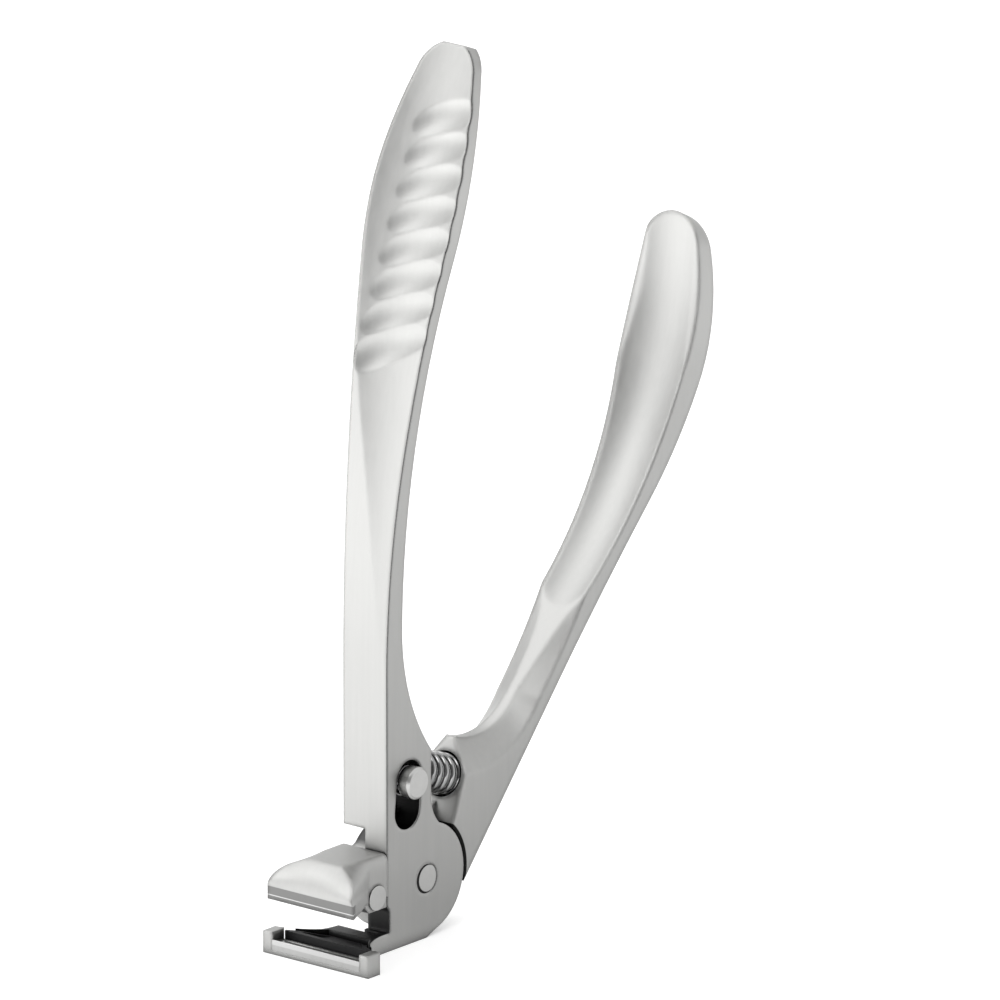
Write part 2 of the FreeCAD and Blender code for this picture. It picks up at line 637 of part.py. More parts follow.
def make_fixed_lever():
    body = new_body("fixed_lever")
    reach = S["fixed_paddle_width"]
    side = outline(body, "fixed_side", "XZ_Plane", [fixed_side_view()])
    pad(body, side, reach + over, both_ways=True)
    grip_scoop(body)
    grip_flutes(body)
    pocket(body, outline(body, "grip_back", "XZ_Plane", [grip_back_view()]), reach * 2, both_ways=True)
    face = grip_outline(
        half_width,
        S["fixed_paddle_width"] / 2,
        ZERO,
        S["fixed_grow_height"],
        S["fixed_wide_height"],
        S["fixed_tip"],
        S["fixed_grow_round"],
        S["fixed_side_round"],
        S["fixed_tip_round"],
        reach + over,
    )
    pocket(body, outline(body, "fixed_face", "YZ_Plane", face), both_ways=True)
    cheek = outline(body, "fixed_cheek", "XZ_Plane", [fixed_cheek_view()], lap_half)
    pad(body, cheek, half_thick)

    plan = jaw_plan(
        S["jaw_front"], S["jaw_width"] / 2, S["bar_depth"], S["root_reach"], half_width, S["sweep_round"]
    )
    pad(body, outline(body, "jaw_plan", "XY_Plane", [plan], -S["jaw_floor"]), S["lug_height"])
    pocket(body, outline(body, "jaw_hollow", "XY_Plane", [hollow_plan(ZERO)], lug_top), lug_top - floor_top)
    back_wall = box_loop(-S["web_reach"], -half_width, -S["root_reach"], half_width)
    pad(body, outline(body, "back_wall", "XY_Plane", [back_wall], floor_top), S["wall_low"])
    fall = [
        (S["wall_run"] - S["jaw_front"] + S["bar_depth"], wall_top),
        (-shoulder - S["disc_gap"], wall_top),
        (-shoulder - S["disc_gap"], lug_top + over),
        (S["bar_depth"] - S["jaw_front"], lug_top + over),
        (S["bar_depth"] - S["jaw_front"], lug_top),
    ]
    pocket(body, outline(body, "wall_fall", "XZ_Plane", [fall]), S["jaw_width"] + over, both_ways=True)
    seat = [
        (-S["jaw_front"] - over, blade_foot),
        (blade_back, blade_foot),
        (blade_back, lower_edge - S["blade_bevel"]),
        (S["bar_depth"] - S["jaw_front"] + S["blade_room"], lower_edge - S["blade_bevel"]),
        (S["bar_depth"] - S["jaw_front"] + S["blade_room"], lug_top + over),
        (-S["jaw_front"] - over, lug_top + over),
    ]
    seat_width = S["blade_width"] + S["press_gap"] * 2
    pocket(body, outline(body, "blade_seat", "XZ_Plane", [seat]), seat_width, both_ways=True)

    pocket(body, outline(body, "lock_slot", "XZ_Plane", [slot_view()]), both_ways=True)
    bay_x = -along_slot(slot_round / 2)[0]
    bay = box_loop(
        -bay_x - S["catch_bay"] / 2, S["far_foot"] - over, S["catch_bay"] / 2 - bay_x, S["catch_bay_top"]
    )
    bay_sketch = outline(body, "catch_bay", "XZ_Plane", [bay], lap_half)
    pocket(body, bay_sketch, half_width + over)
    pivot_hole = circle(body, "pivot_hole", "XZ_Plane", ZERO, ZERO, S["pivot_diameter"] / 2 + S["press_gap"])
    pocket(body, pivot_hole, both_ways=True)
    spring_pocket(body, "fixed_spring_seat", fixed_seat_x, fixed_seat_z, 1)
    return body


# Squeeze lever: right grip, shoulder, far half of the joint and neck


def lever_frame():
    """Start, direction and inward normal of the straight outer edge."""
    start = polar(shoulder, -S["heel_turn"])
    ahead = (sine(S["lever_lean"]), cosine(S["lever_lean"]))
    inward = (-ahead[1], ahead[0])
    return start, ahead, inward


def on_lever(run, thick):
    start, ahead, inward = lever_frame()
    return start[0] + run * ahead[0] + thick * inward[0], start[1] + run * ahead[1] + thick * inward[1]


def round_centre():
    return on_lever(S["lever_straight"], S["lever_round"])


def lever_tip(thick):
    """End of the round: the outer edge has turned back by lever_turn there."""
    centre = round_centre()
    rest = S["lever_lean"] - S["lever_turn"]
    radius = S["lever_round"] - thick
    return centre[0] + radius * cosine(rest), centre[1] - radius * sine(rest)


def dish_centre():
    """The dish is flatter than the inner face, so that it fades out at both ends of the round."""
    centre = round_centre()
    middle = S["lever_lean"] - S["lever_turn"] / 2
    inner = S["lever_round"] - (S["lever_tip_thick"] + S["lever_mid_thick"]) / 2
    step = inner + S["dish_depth"] - S["dish_run"]
    return centre[0] + step * cosine(middle), centre[1] - step * sine(middle)


def lever_side_view():
    lug_x = S["lug_foot_x"] + S["lug_face"] * tilt_x
    lug_z = S["lug_foot_z"] + S["lug_face"] * tilt_z
    middle = (S["lever_tip_thick"] + S["lever_mid_thick"]) / 2
    return [
        (*polar(shoulder, -S["heel_turn"]), shoulder, -1),
        on_lever(S["lever_straight"], ZERO),
        (*lever_tip(ZERO), S["lever_round"], 1),
        lever_tip(S["lever_tip_thick"]),
        (*on_lever(S["lever_straight"], S["lever_mid_thick"]), S["lever_round"] - middle, -1),
        (*on_lever(S["lever_low_run"], S["lever_low_thick"]), S["lever_hollow"], -1),
        (lug_x, lug_z, S["throat_round"], -1),
        (S["lug_foot_x"], S["lug_foot_z"]),
        polar(shoulder, S["shoulder_turn"]),
    ]


def lever_gable(body, name, side):
    """Slope from the ridge behind the lug down to the near edge (side 1) or the far edge (side -1)."""
    run, top = S["lever_low_run"], S["lug_face"]
    fade = on_lever(S["gable_run"], S["gable_top"])
    ridge = [
        (S["lug_foot_x"] + top * tilt_x, S["lug_foot_z"] + top * tilt_z),
        on_lever(run, S["lever_low_thick"]),
        fade,
    ]
    low = top - S["gable_drop"]
    edge = [
        (S["lug_foot_x"] + low * tilt_x, S["lug_foot_z"] + low * tilt_z),
        on_lever(run, S["gable_edge"]),
        fade,
    ]
    inward = lever_frame()[2]
    high = top + over
    sections = []
    for place, radius in ((ZERO, S["throat_round"]), (half_width + over, S["gable_round"])):
        share = (place - S["gable_ridge"]) / (half_width - S["gable_ridge"])
        line = [tuple(r + (e - r) * share for r, e in zip(ridge[k], edge[k])) for k in range(len(ridge))]
        ahead = (line[0][0] - over * tilt_z, line[0][1] + over * tilt_x)
        loop = [
            line[2],
            (*line[1], S["lever_hollow"], -1),
            (*line[0], radius, -1),
            ahead,
            (ahead[0] + high * inward[0], ahead[1] + high * inward[1]),
            (line[2][0] + high * inward[0], line[2][1] + high * inward[1]),
        ]
        sections.append(outline(body, f"{name}_{len(sections)}", "XZ_Plane", [loop], place * side))
    slope = body.newObject("PartDesign::SubtractiveLoft", name)
    slope.Profile = sections[0]
    slope.Sections = sections[1:]
    slope.Ruled = True
    doc.recompute()
    return slope


def make_squeeze_lever():
    body = new_body("squeeze_lever")
    side = outline(body, "lever_side", "XZ_Plane", [lever_side_view()])
    pad(body, side, S["lever_paddle_width"] + over, both_ways=True)
    dish = body.newObject("PartDesign::SubtractiveTorus", "lever_dish")
    bind(dish, "Radius1", S["dish_run"] - S["dish_round"])
    bind(dish, "Radius2", S["dish_round"])
    attach(dish, body, "XZ_Plane", shift=dish_centre())
    lever_gable(body, "near_gable", 1)
    lever_gable(body, "far_gable", -1)
    face = grip_outline(
        half_width,
        S["lever_paddle_width"] / 2,
        -shoulder - over,
        S["lever_grow_run"],
        S["lever_wide_run"],
        S["lever_tip_run"],
        S["lever_grow_round"],
        S["lever_side_round"],
        S["lever_tip_round"],
        S["lever_paddle_width"] + over,
    )
    pocket(body, outline(body, "lever_face", "YZ_Plane", face, turn=S["view_lean"]), both_ways=True)

    link = [
        polar(S["disc_radius"] - S["disc_gap"], -S["heel_turn"] * 2),
        on_lever(S["link_run"], ZERO),
        (S["lug_foot_x"], S["lug_foot_z"]),
        polar(S["disc_radius"] - S["disc_gap"], S["shoulder_turn"] + S["heel_turn"]),
        (ZERO, ZERO),
    ]
    pad(body, outline(body, "lever_link", "XZ_Plane", [link], -half_width), half_thick)
    disc = circle(body, "lever_disc", "XZ_Plane", ZERO, ZERO, S["disc_radius"], -half_width)
    pad(body, disc, half_thick)
    neck_top = S["jaw_rivet_rise"] + S["neck_thick"] / 2
    neck_low = S["jaw_rivet_rise"] - S["neck_thick"] / 2
    neck = [
        (ZERO, neck_low),
        (ZERO, neck_top),
        (S["neck_thick"] / 2 - S["neck_end"], neck_top),
        (-S["neck_end"], S["jaw_rivet_rise"], S["neck_thick"] / 2, 1),
        (S["neck_thick"] / 2 - S["neck_end"], neck_low, S["neck_thick"] / 2, 1),
    ]
    pad(body, outline(body, "lever_neck", "XZ_Plane", [neck], -half_width), half_thick)
    flank_x = S["disc_gap"] - S["hood_back"]
    flank = [
        (flank_x, neck_low),
        (ZERO, neck_low),
        polar(S["disc_radius"], DISC_NECK),
        (flank_x, S["flank_top"], S["neck_round"], -1),
    ]
    pad(body, outline(body, "neck_flank", "XZ_Plane", [flank], -half_width), half_thick)
    up_x, up_z = -sine(S["catch_turn"]), cosine(S["catch_turn"])
    low, high = S["disc_radius"] - S["disc_gap"], S["disc_radius"] + S["catch_height"]
    side_step = S["catch_width"] / 2
    catch = [
        (low * up_x - side_step * up_z, low * up_z + side_step * up_x),
        (low * up_x + side_step * up_z, low * up_z - side_step * up_x),
        (high * up_x + side_step * up_z, high * up_z - side_step * up_x),
        (high * up_x - side_step * up_z, high * up_z + side_step * up_x),
    ]
    pad(body, outline(body, "lock_catch", "XZ_Plane", [catch], -half_width), half_thick)
    hole = circle(body, "lever_bore", "XZ_Plane", ZERO, ZERO, S["pivot_diameter"] / 2 + S["run_gap"])
    pocket(body, hole, both_ways=True)
    head = circle(
        body, "pivot_recess", "XZ_Plane", ZERO, ZERO, S["pivot_head_diameter"] / 2 + S["run_gap"], -half_width
    )
    pocket(body, head, S["pivot_head_height"] + S["run_gap"], reverse=True)
    rivet = circle(
        body,
        "jaw_rivet_hole",
        "XZ_Plane",
        -S["jaw_rivet_reach"],
        S["jaw_rivet_rise"],
        S["jaw_rivet_diameter"] / 2 + S["press_gap"],
    )
    pocket(body, rivet, both_ways=True)
    spring_pocket(body, "lever_spring_seat", lever_seat_x, lever_seat_z, -1)
    return body


# Upper jaw: a hood that narrows from the wide cutting edge to a block, which takes the neck

# Heights in the dome above the rim, with the set-back, width, swell and block width that are left at each
DOME_SHARES = (0.0, 0.37, 0.7, 0.91, 1.0)
SETBACK_SHARES = (0.0, 0.1, 0.375, 0.56, 1.0)
CORNER_SHARES = (1.0, 0.94, 0.765, 0.52, 0.31)
SWELL_SHARES = (0.02, 0.1, 0.55, 0.45, 1.0)
BLOCK_SHARES = (1.0, 1.0, 0.99, 0.935, 0.74)


def hood_plan(i):
    """Top view of the hood at one height: swelling front, slanted ends, narrow back."""
    front = S["hood_setback"] * SETBACK_SHARES[i] - upper_edge
    corner = S["hood_width"] / 2 * CORNER_SHARES[i]
    swell = S["hood_swell"] * SWELL_SHARES[i]
    half = S["block_width"] / 2 * BLOCK_SHARES[i]
    bow = (corner * corner + swell * swell) / (swell * 2)
    return [
        (-S["hood_back"], -half),
        (-S["hood_back"], half),
        (-S["hood_waist"], half),
        (front, corner),
        (front, -corner, bow, 1),
        (-S["hood_waist"], -half),
    ]


def make_upper_jaw():
    body = new_body("upper_jaw")
    rim_z = S["rim_height"] - S["edge_drop"]
    rim = outline(body, "hood_rim", "XY_Plane", [hood_plan(0)], -S["edge_drop"])
    pad(body, rim, S["rim_height"])
    sections = []
    for i, share in enumerate(DOME_SHARES):
        height = rim_z + (S["hood_top"] - rim_z) * share
        sections.append(outline(body, f"hood_{i}", "XY_Plane", [hood_plan(i)], height))
    loft = body.newObject("PartDesign::AdditiveLoft", "hood")
    loft.Profile = sections[0]
    loft.Sections = sections[1:]
    doc.recompute()

    room_back = S["hood_waist"] + S["hood_wall"]
    block = [
        (-S["block_back"], -S["block_low"]),
        (-S["block_back"], S["jaw_rivet_rise"]),
        (-room_back, S["jaw_rivet_rise"]),
        (-room_back, -S["edge_drop"]),
        (-S["hood_waist"], -S["block_low"]),
    ]
    pad(body, outline(body, "jaw_block", "XZ_Plane", [block]), S["block_width"], both_ways=True)
    half_front = S["hood_width"] / 2 - S["hood_side"]
    half_back = S["block_width"] / 2 - S["hood_wall"] / 2
    room = [
        (S["hood_wall"] - upper_edge, -half_front),
        (-room_back, -half_back),
        (-room_back, half_back),
        (S["hood_wall"] - upper_edge, half_front),
    ]
    room_sketch = outline(body, "hood_room", "XY_Plane", [room], -S["edge_drop"])
    pocket(body, room_sketch, S["hood_roof"] + S["edge_drop"], reverse=True)
    bevel = [
        (S["edge_land"] - upper_edge, -S["edge_drop"]),
        (S["hood_wall"] - upper_edge, S["rim_height"] - S["edge_drop"] * 2),
        (S["hood_wall"] + over - upper_edge, -S["edge_drop"] - over),
        (S["edge_land"] - upper_edge, -S["edge_drop"] - over),
    ]
    pocket(body, outline(body, "edge_bevel", "XZ_Plane", [bevel]), half_front * 2, both_ways=True)
    neck_room = S["neck_thick"] / 2 + S["press_gap"]
    slot = box_loop(
        -S["neck_end"] - S["press_gap"],
        S["jaw_rivet_rise"] - neck_room - over,
        over - S["block_back"],
        S["jaw_rivet_rise"] + neck_room,
    )
    slot_sketch = outline(body, "neck_slot", "XZ_Plane", [slot], -half_width - S["press_gap"])
    pocket(body, slot_sketch, half_thick + S["press_gap"] * 2, reverse=True)
    rivet = circle(
        body,
        "rivet_hole",
        "XZ_Plane",
        -S["jaw_rivet_reach"],
        S["jaw_rivet_rise"],
        S["jaw_rivet_diameter"] / 2 + S["press_gap"],
    )
    pocket(body, rivet, both_ways=True)
    return body


# Small pieces


def turned(name, profile, x, z):
    """Round piece about an axis along Y through (x, z), from pairs of (radius, Y) down its side."""
    body = new_body(name)
    loop = [(ZERO, profile[0][1]), *profile, (ZERO, profile[-1][1])]
    revolve(body, outline(body, f"{name}_side", "XY_Plane", [loop]), "V_Axis")
    return body, Vector(x.value, 0, z.value)


def make_pivot_rivet():
    shank = S["pivot_diameter"] / 2
    head = S["pivot_head_diameter"] / 2
    profile = [
        (head, half_width),
        (head, half_width - S["pivot_head_height"]),
        (shank, half_width - S["pivot_head_height"]),
        (shank, -half_width),
    ]
    return turned("pivot_rivet", profile, ZERO, ZERO)


def make_jaw_rivet():
    radius = S["jaw_rivet_diameter"] / 2
    end = S["block_width"] / 2 + S["jaw_rivet_proud"]
    profile = [(radius, end), (radius, -end)]
    return turned("jaw_rivet", profile, -S["jaw_rivet_reach"], S["jaw_rivet_rise"])


def make_lower_blade():
    body = new_body("lower_blade")
    front = -S["jaw_front"]
    section = [
        (front, blade_foot),
        (blade_back, blade_foot),
        (blade_back, lower_edge - S["blade_bevel"]),
        (front + S["edge_land"], lower_edge),
        (front, lower_edge),
    ]
    pad(body, outline(body, "blade_section", "XZ_Plane", [section]), S["blade_width"], both_ways=True)
    return body


def make_catch_liner():
    """Tray on the floor of the lower jaw, with a rim that falls toward the back as the walls do."""
    body = new_body("catch_liner")
    floor = floor_top + S["liner_thick"]
    plan = outline(body, "liner_plan", "XY_Plane", [hollow_plan(S["liner_gap"])], floor_top)
    pad(body, plan, S["liner_thick"] + S["liner_rim"])
    front = S["liner_gap"] + S["liner_wall"] + S["bar_depth"] - S["jaw_front"]
    half_front, half_back = S["liner_room_front"] / 2, S["liner_room_back"] / 2
    back = over - S["liner_back"]
    room = [(front, -half_front), (-S["liner_back"], -half_back), (back, -half_back)]
    room += [(back, half_back), (-S["liner_back"], half_back), (front, half_front)]
    top = floor + S["liner_rim"]
    pocket(body, outline(body, "liner_room", "XY_Plane", [room], top), S["liner_rim"])
    fall = [
        (S["wall_run"] - S["jaw_front"] + S["bar_depth"], floor),
        (ZERO, floor),
        (ZERO, lug_top + over),
        (S["bar_depth"] - S["jaw_front"], lug_top + over),
        (S["bar_depth"] - S["jaw_front"], lug_top),
    ]
    pocket(body, outline(body, "liner_fall", "XZ_Plane", [fall]), S["jaw_width"] + over, both_ways=True)
    end = box_loop(-S["liner_back"], -S["jaw_floor"], ZERO, ZERO)
    pocket(body, outline(body, "liner_end", "XZ_Plane", [end]), S["jaw_width"] + over, both_ways=True)
    return body


def make_lock_button():
    """Button, shank and collar in one turned piece, with the latch below the collar on the far half."""
    radius, shank = S["button_diameter"] / 2, S["shank_diameter"] / 2
    face = -half_width - S["button_proud"]
    collar = -lap_half - S["latch_gap"]
    profile = [
        (radius - S["button_rim"], face),
        (radius, face + S["button_rim"]),
        (radius, -half_width),
        (shank, -half_width),
        (shank, collar - S["collar_thick"]),
        (radius, collar - S["collar_thick"]),
        (radius, collar),
    ]
    body, place = turned("lock_button", profile, button_x, button_z)
    left = S["latch_side"] - S["latch_width"] / 2
    right = S["latch_side"] + S["latch_width"] / 2
    latch = box_loop(left, -S["latch_drop"], right, S["shank_diameter"] / 2)
    length = half_width - collar + S["retainer_thick"]
    pad(body, outline(body, "lock_latch", "XZ_Plane", [latch], -half_width - S["retainer_thick"]), length)
    return body, place


def make_lock_retainer():
    body = new_body("lock_retainer")
    start = -half_width - S["run_gap"]
    plate = circle(body, "retainer_plate", "XZ_Plane", ZERO, ZERO, S["retainer_diameter"] / 2, start)
    pad(body, plate, S["retainer_thick"] - S["run_gap"], reverse=True)
    left = S["latch_side"] - S["latch_width"] / 2 - S["press_gap"]
    right = S["latch_side"] + S["latch_width"] / 2 + S["press_gap"]
    hole = box_loop(left, -S["latch_drop"] - S["press_gap"], right, S["shank_diameter"] / 2 + S["press_gap"])
    pocket(body, outline(body, "retainer_hole", "XZ_Plane", [hole]), both_ways=True)
    return body, Vector(button_x.value, 0, button_z.value)


# Springs


def biarc(start, start_way, end, end_way):
    """Two arcs that leave start along start_way and reach end along end_way."""
    gap = end - start
    ways = start_way + end_way
    slack = 2 * (1 - start_way.dot(end_way))
    along = gap.dot(ways)
    reach = (math.sqrt(along * along + slack * gap.dot(gap)) - along) / slack
    knee, other_knee = start + start_way * reach, end - end_way * reach
    joint = (knee + other_knee) / 2
    arcs = []
    for first, corner, last in ((start, knee, joint), (joint, other_knee, end)):
        middle = (first + last) / 2
        chord = last - first
        turn = (corner - first).getAngle(chord)
        bow = (corner - middle).normalize() * (chord.Length / 2 * math.tan(turn / 2))
        arcs.append(Part.Arc(first, middle + bow, last))
    return arcs


QUARTER_TURNS = 4


def coil_path(radius, low, high, turns):
    """Helix about +Z between two heights, as biarcs of a quarter turn each, and its first direction."""
    steps = round(turns * QUARTER_TURNS)
    rise = (high - low) / steps
    slope = rise * QUARTER_TURNS / (2 * math.pi)

    def place(step):
        angle = step * 2 * math.pi / QUARTER_TURNS
        return Vector(radius * math.cos(angle), radius * math.sin(angle), low + rise * step)

    def way(step):
        angle = step * 2 * math.pi / QUARTER_TURNS
        return Vector(-radius * math.sin(angle), radius * math.cos(angle), slope).normalize()

    arcs = []
    for step in range(steps):
        arcs += biarc(place(step), way(step), place(step + 1), way(step + 1))
    return arcs, way(0)


POINTS_PER_ARC = 6


def least_gap(arcs, wire):
    """Clear space between neighbouring turns, measured on points along the wire's middle."""
    points = []
    for arc in arcs:
        step = (arc.LastParameter - arc.FirstParameter) / POINTS_PER_ARC
        points += [arc.value(arc.FirstParameter + step * k) for k in range(POINTS_PER_ARC)]
    far = POINTS_PER_ARC * QUARTER_TURNS
    gaps = []
    for i, point in enumerate(points):
        gaps += [point.distanceToPoint(other) for other in points[i + far:]]
    return min(gaps) - wire


def make_coil(name, outside, wire, length, turns):
    """One unbroken wire wound about +Z, from the origin up."""
    radius = (outside - wire).value / 2
    half = wire.value / 2
    arcs, way = coil_path(radius, half, length.value - half, turns.value)
    path = Part.Wire([arc.toShape() for arc in arcs])
    ring = Part.Circle(Vector(radius, 0, half), way, half)
    tube = path.makePipeShell([Part.Wire([ring.toShape()])], True, False)
    coil = doc.addObject("Part::Feature", name)
    coil.Label = name
    coil.Shape = tube
    print(f"{name}: least gap to itself {least_gap(arcs, wire.value):.2f} mm")
    return coil


def make_return_spring():
    length = spring_room - S["seat_ease"] * 2
    coil = make_coil("return_spring", S["spring_diameter"], S["spring_wire"], length, S["spring_turns"])
    start = Vector(
        (fixed_seat_x + S["seat_ease"] * tilt_z).value, 0, (fixed_seat_z - S["seat_ease"] * tilt_x).value
    )
    return coil, Placement(start, Rotation(Vector(0, 0, 1), Vector(tilt_z.value, 0, -tilt_x.value)))


def make_lock_spring():
    """Rings on the shank, between the button and its collar."""
    foot = -lap_half - S["latch_gap"] - S["collar_thick"] - S["seat_ease"]
    top = S["seat_ease"] - half_width
    coil = make_coil("lock_spring", S["button_diameter"], S["ring_wire"], foot - top, S["ring_turns"])
    start = Vector(button_x.value, foot.value, button_z.value)
    return coil, Placement(start, Rotation(Vector(1, 0, 0), 90))


# Assembly

made = [
    (make_fixed_lever(), Placement()),
    (make_squeeze_lever(), Placement()),
    (make_upper_jaw(), Placement()),
    (make_lower_blade(), Placement()),
    (make_catch_liner(), Placement()),
]
for piece, place in (make_pivot_rivet(), make_jaw_rivet(), make_lock_button(), make_lock_retainer()):
    made.append((piece, Placement(place, Rotation())))
made += [make_return_spring(), make_lock_spring()]
doc.recompute()

for piece, place in made:
    piece.Placement = place
doc.recompute()
box = FreeCAD.BoundBox()
for piece, place in made:
    box.add(piece.Shape.optimalBoundingBox(False, False))
stand = Vector(-box.Center.x, -box.Center.y, -box.ZMin)
for piece, place in made:
    piece.Placement = Placement(stand, Rotation()) * place
doc.recompute()

for thing in doc.Objects:
    if "Invalid" in thing.State or "Error" in thing.State:
        raise RuntimeError(f"{thing.Label} failed: {thing.State}")
for piece, place in made:
    if piece.Shape.isNull() or not piece.Shape.isValid() or len(piece.Shape.Solids) != 1:
        raise RuntimeError(f"{piece.Label} is no single valid solid")

os.makedirs("parts", exist_ok=True)
for piece, place in made:
    piece.Shape.exportStep(f"parts/{piece.Label}.step")
    print(f"{piece.Label}: {piece.Shape.Volume:.1f} mm3")
print(f"pivot axis at X {stand.x:.3f}, Z {stand.z:.3f} mm")
print(f"box {box.XLength:.2f} x {box.YLength:.2f} x {box.ZLength:.2f} mm")
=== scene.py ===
# %% [markdown]
# # A satin toenail clipper
#
# The real object is a plier-type clipper: two steel levers lapped at a rivet, a hooded jaw that swings
# down on a lower jaw, a coil spring that opens the levers, and a small slide lock in a slot.
# Its solids were made in CAD and arrive here as a fixed frame, so this lesson is about looks:
# wound springs, satin and polished metal, light and a camera.

# %% Load the frame
import math

import bpy
from mathutils import Matrix, Vector


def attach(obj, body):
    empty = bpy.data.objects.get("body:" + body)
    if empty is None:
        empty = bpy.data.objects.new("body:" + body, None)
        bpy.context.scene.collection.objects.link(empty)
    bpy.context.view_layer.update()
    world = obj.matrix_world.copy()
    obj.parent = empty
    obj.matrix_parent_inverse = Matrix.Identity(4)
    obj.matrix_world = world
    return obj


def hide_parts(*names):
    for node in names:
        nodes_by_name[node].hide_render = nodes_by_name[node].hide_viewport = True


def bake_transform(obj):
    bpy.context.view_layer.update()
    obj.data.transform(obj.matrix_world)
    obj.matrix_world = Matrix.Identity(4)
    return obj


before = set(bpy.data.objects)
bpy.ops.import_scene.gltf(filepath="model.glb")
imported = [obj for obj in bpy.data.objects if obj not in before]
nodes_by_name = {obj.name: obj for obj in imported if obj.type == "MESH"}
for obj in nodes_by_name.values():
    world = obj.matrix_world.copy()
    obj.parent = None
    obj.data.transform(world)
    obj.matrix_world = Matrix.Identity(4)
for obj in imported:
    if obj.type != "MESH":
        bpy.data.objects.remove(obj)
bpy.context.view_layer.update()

MM = 0.001
print("nodes:", ", ".join(sorted(nodes_by_name)))

# %% [markdown]
# ## A small kit for materials
#
# Every finish below is a node tree. Writing the links by hand each time hides what matters, so a few
# helpers make a node with its values, join sockets by name, and build masks: a mask is 1 inside a range
# of a coordinate and 0 outside it, and two masks multiplied give the place where both hold. All patterns
# read Object coordinates: the pieces sit at the origin at real size, so one unit is one metre of metal.


# %% Material helpers
def new_finish(name):
    """An empty material with a Principled shader joined to its output."""
    finish = bpy.data.materials.new(name)
    finish.use_nodes = True
    finish.node_tree.nodes.clear()
    shader = finish.node_tree.nodes.new("ShaderNodeBsdfPrincipled")
    output = finish.node_tree.nodes.new("ShaderNodeOutputMaterial")
    finish.node_tree.links.new(shader.outputs["BSDF"], output.inputs["Surface"])
    return finish, shader


def add(finish, kind, **values):
    """A node of that kind, with values set on its input sockets by name."""
    node = finish.node_tree.nodes.new(kind)
    for name, value in values.items():
        node.inputs[name.replace("_", " ")].default_value = value
    return node


def join(finish, source, out, target, into):
    finish.node_tree.links.new(source.outputs[out], target.inputs[into])


def place_on(finish):
    """The three Object coordinates of a point, as sockets."""
    place = add(finish, "ShaderNodeTexCoord")
    parts = add(finish, "ShaderNodeSeparateXYZ")
    join(finish, place, "Object", parts, "Vector")
    return parts.outputs


def between(finish, value, low, high, soft):
    """1 where a value lies between two limits and 0 outside them, with soft borders."""
    rise = add(finish, "ShaderNodeMapRange", From_Min=low - soft, From_Max=low + soft)
    fall = add(finish, "ShaderNodeMapRange", From_Min=high - soft, From_Max=high + soft)
    fall.inputs["To Min"].default_value = 1.0
    fall.inputs["To Max"].default_value = 0.0
    for edge in (rise, fall):
        finish.node_tree.links.new(value, edge.inputs["Value"])
    return times(finish, rise.outputs["Result"], fall.outputs["Result"])


def combine(finish, operation, first, second):
    """A Math node on two sockets, as a socket."""
    node = finish.node_tree.nodes.new("ShaderNodeMath")
    node.operation = operation
    finish.node_tree.links.new(first, node.inputs[0])
    finish.node_tree.links.new(second, node.inputs[1])
    return node.outputs["Value"]


def times(finish, first, second):
    """Two masks multiplied: 1 where both are 1."""
    return combine(finish, "MULTIPLY", first, second)


def recolour(finish, mask, colour):
    """Blend the base colour toward another one where the mask is 1."""
    shader = finish.node_tree.nodes["Principled BSDF"]
    base = shader.inputs["Base Color"]
    blend = finish.node_tree.nodes.new("ShaderNodeMix")
    blend.data_type = "RGBA"
    finish.node_tree.links.new(mask, blend.inputs[0])
    finish.node_tree.links.new(base.links[0].from_socket, blend.inputs[6])
    blend.inputs[7].default_value = (*colour, 1.0)
    finish.node_tree.links.new(blend.outputs[2], base)


print("helpers ready")

# %% [markdown]
# ## Grain
#
# Satin steel is not one grey. It was blasted and then lightly brushed, so it carries a fine grain about a
# tenth of a millimetre across and faint streaks along the lever. The grain goes into a Bump node, the
# streaks into roughness and colour. A Bevel node rounds the normals where two faces meet, which is how a
# tumbled edge catches a thin line of light. Gaps, slots and pockets get painted shade: an Ambient Occlusion
# node finds what is shut in within a few millimetres and paints its colour nearly black, where shade falls.


# %% Metal finish
CREVICE = 3.0
PAINTED_SHADE_COLOUR = (0.012, 0.012, 0.012)
STREAK_SIZE, CLOUD_SIZE = 0.9, 14.0
PATTERN_LOW, PATTERN_HIGH = 0.3, 0.7
SHUT_IN, OPEN = 0.25, 0.75
NORMAL_SAMPLES = 6


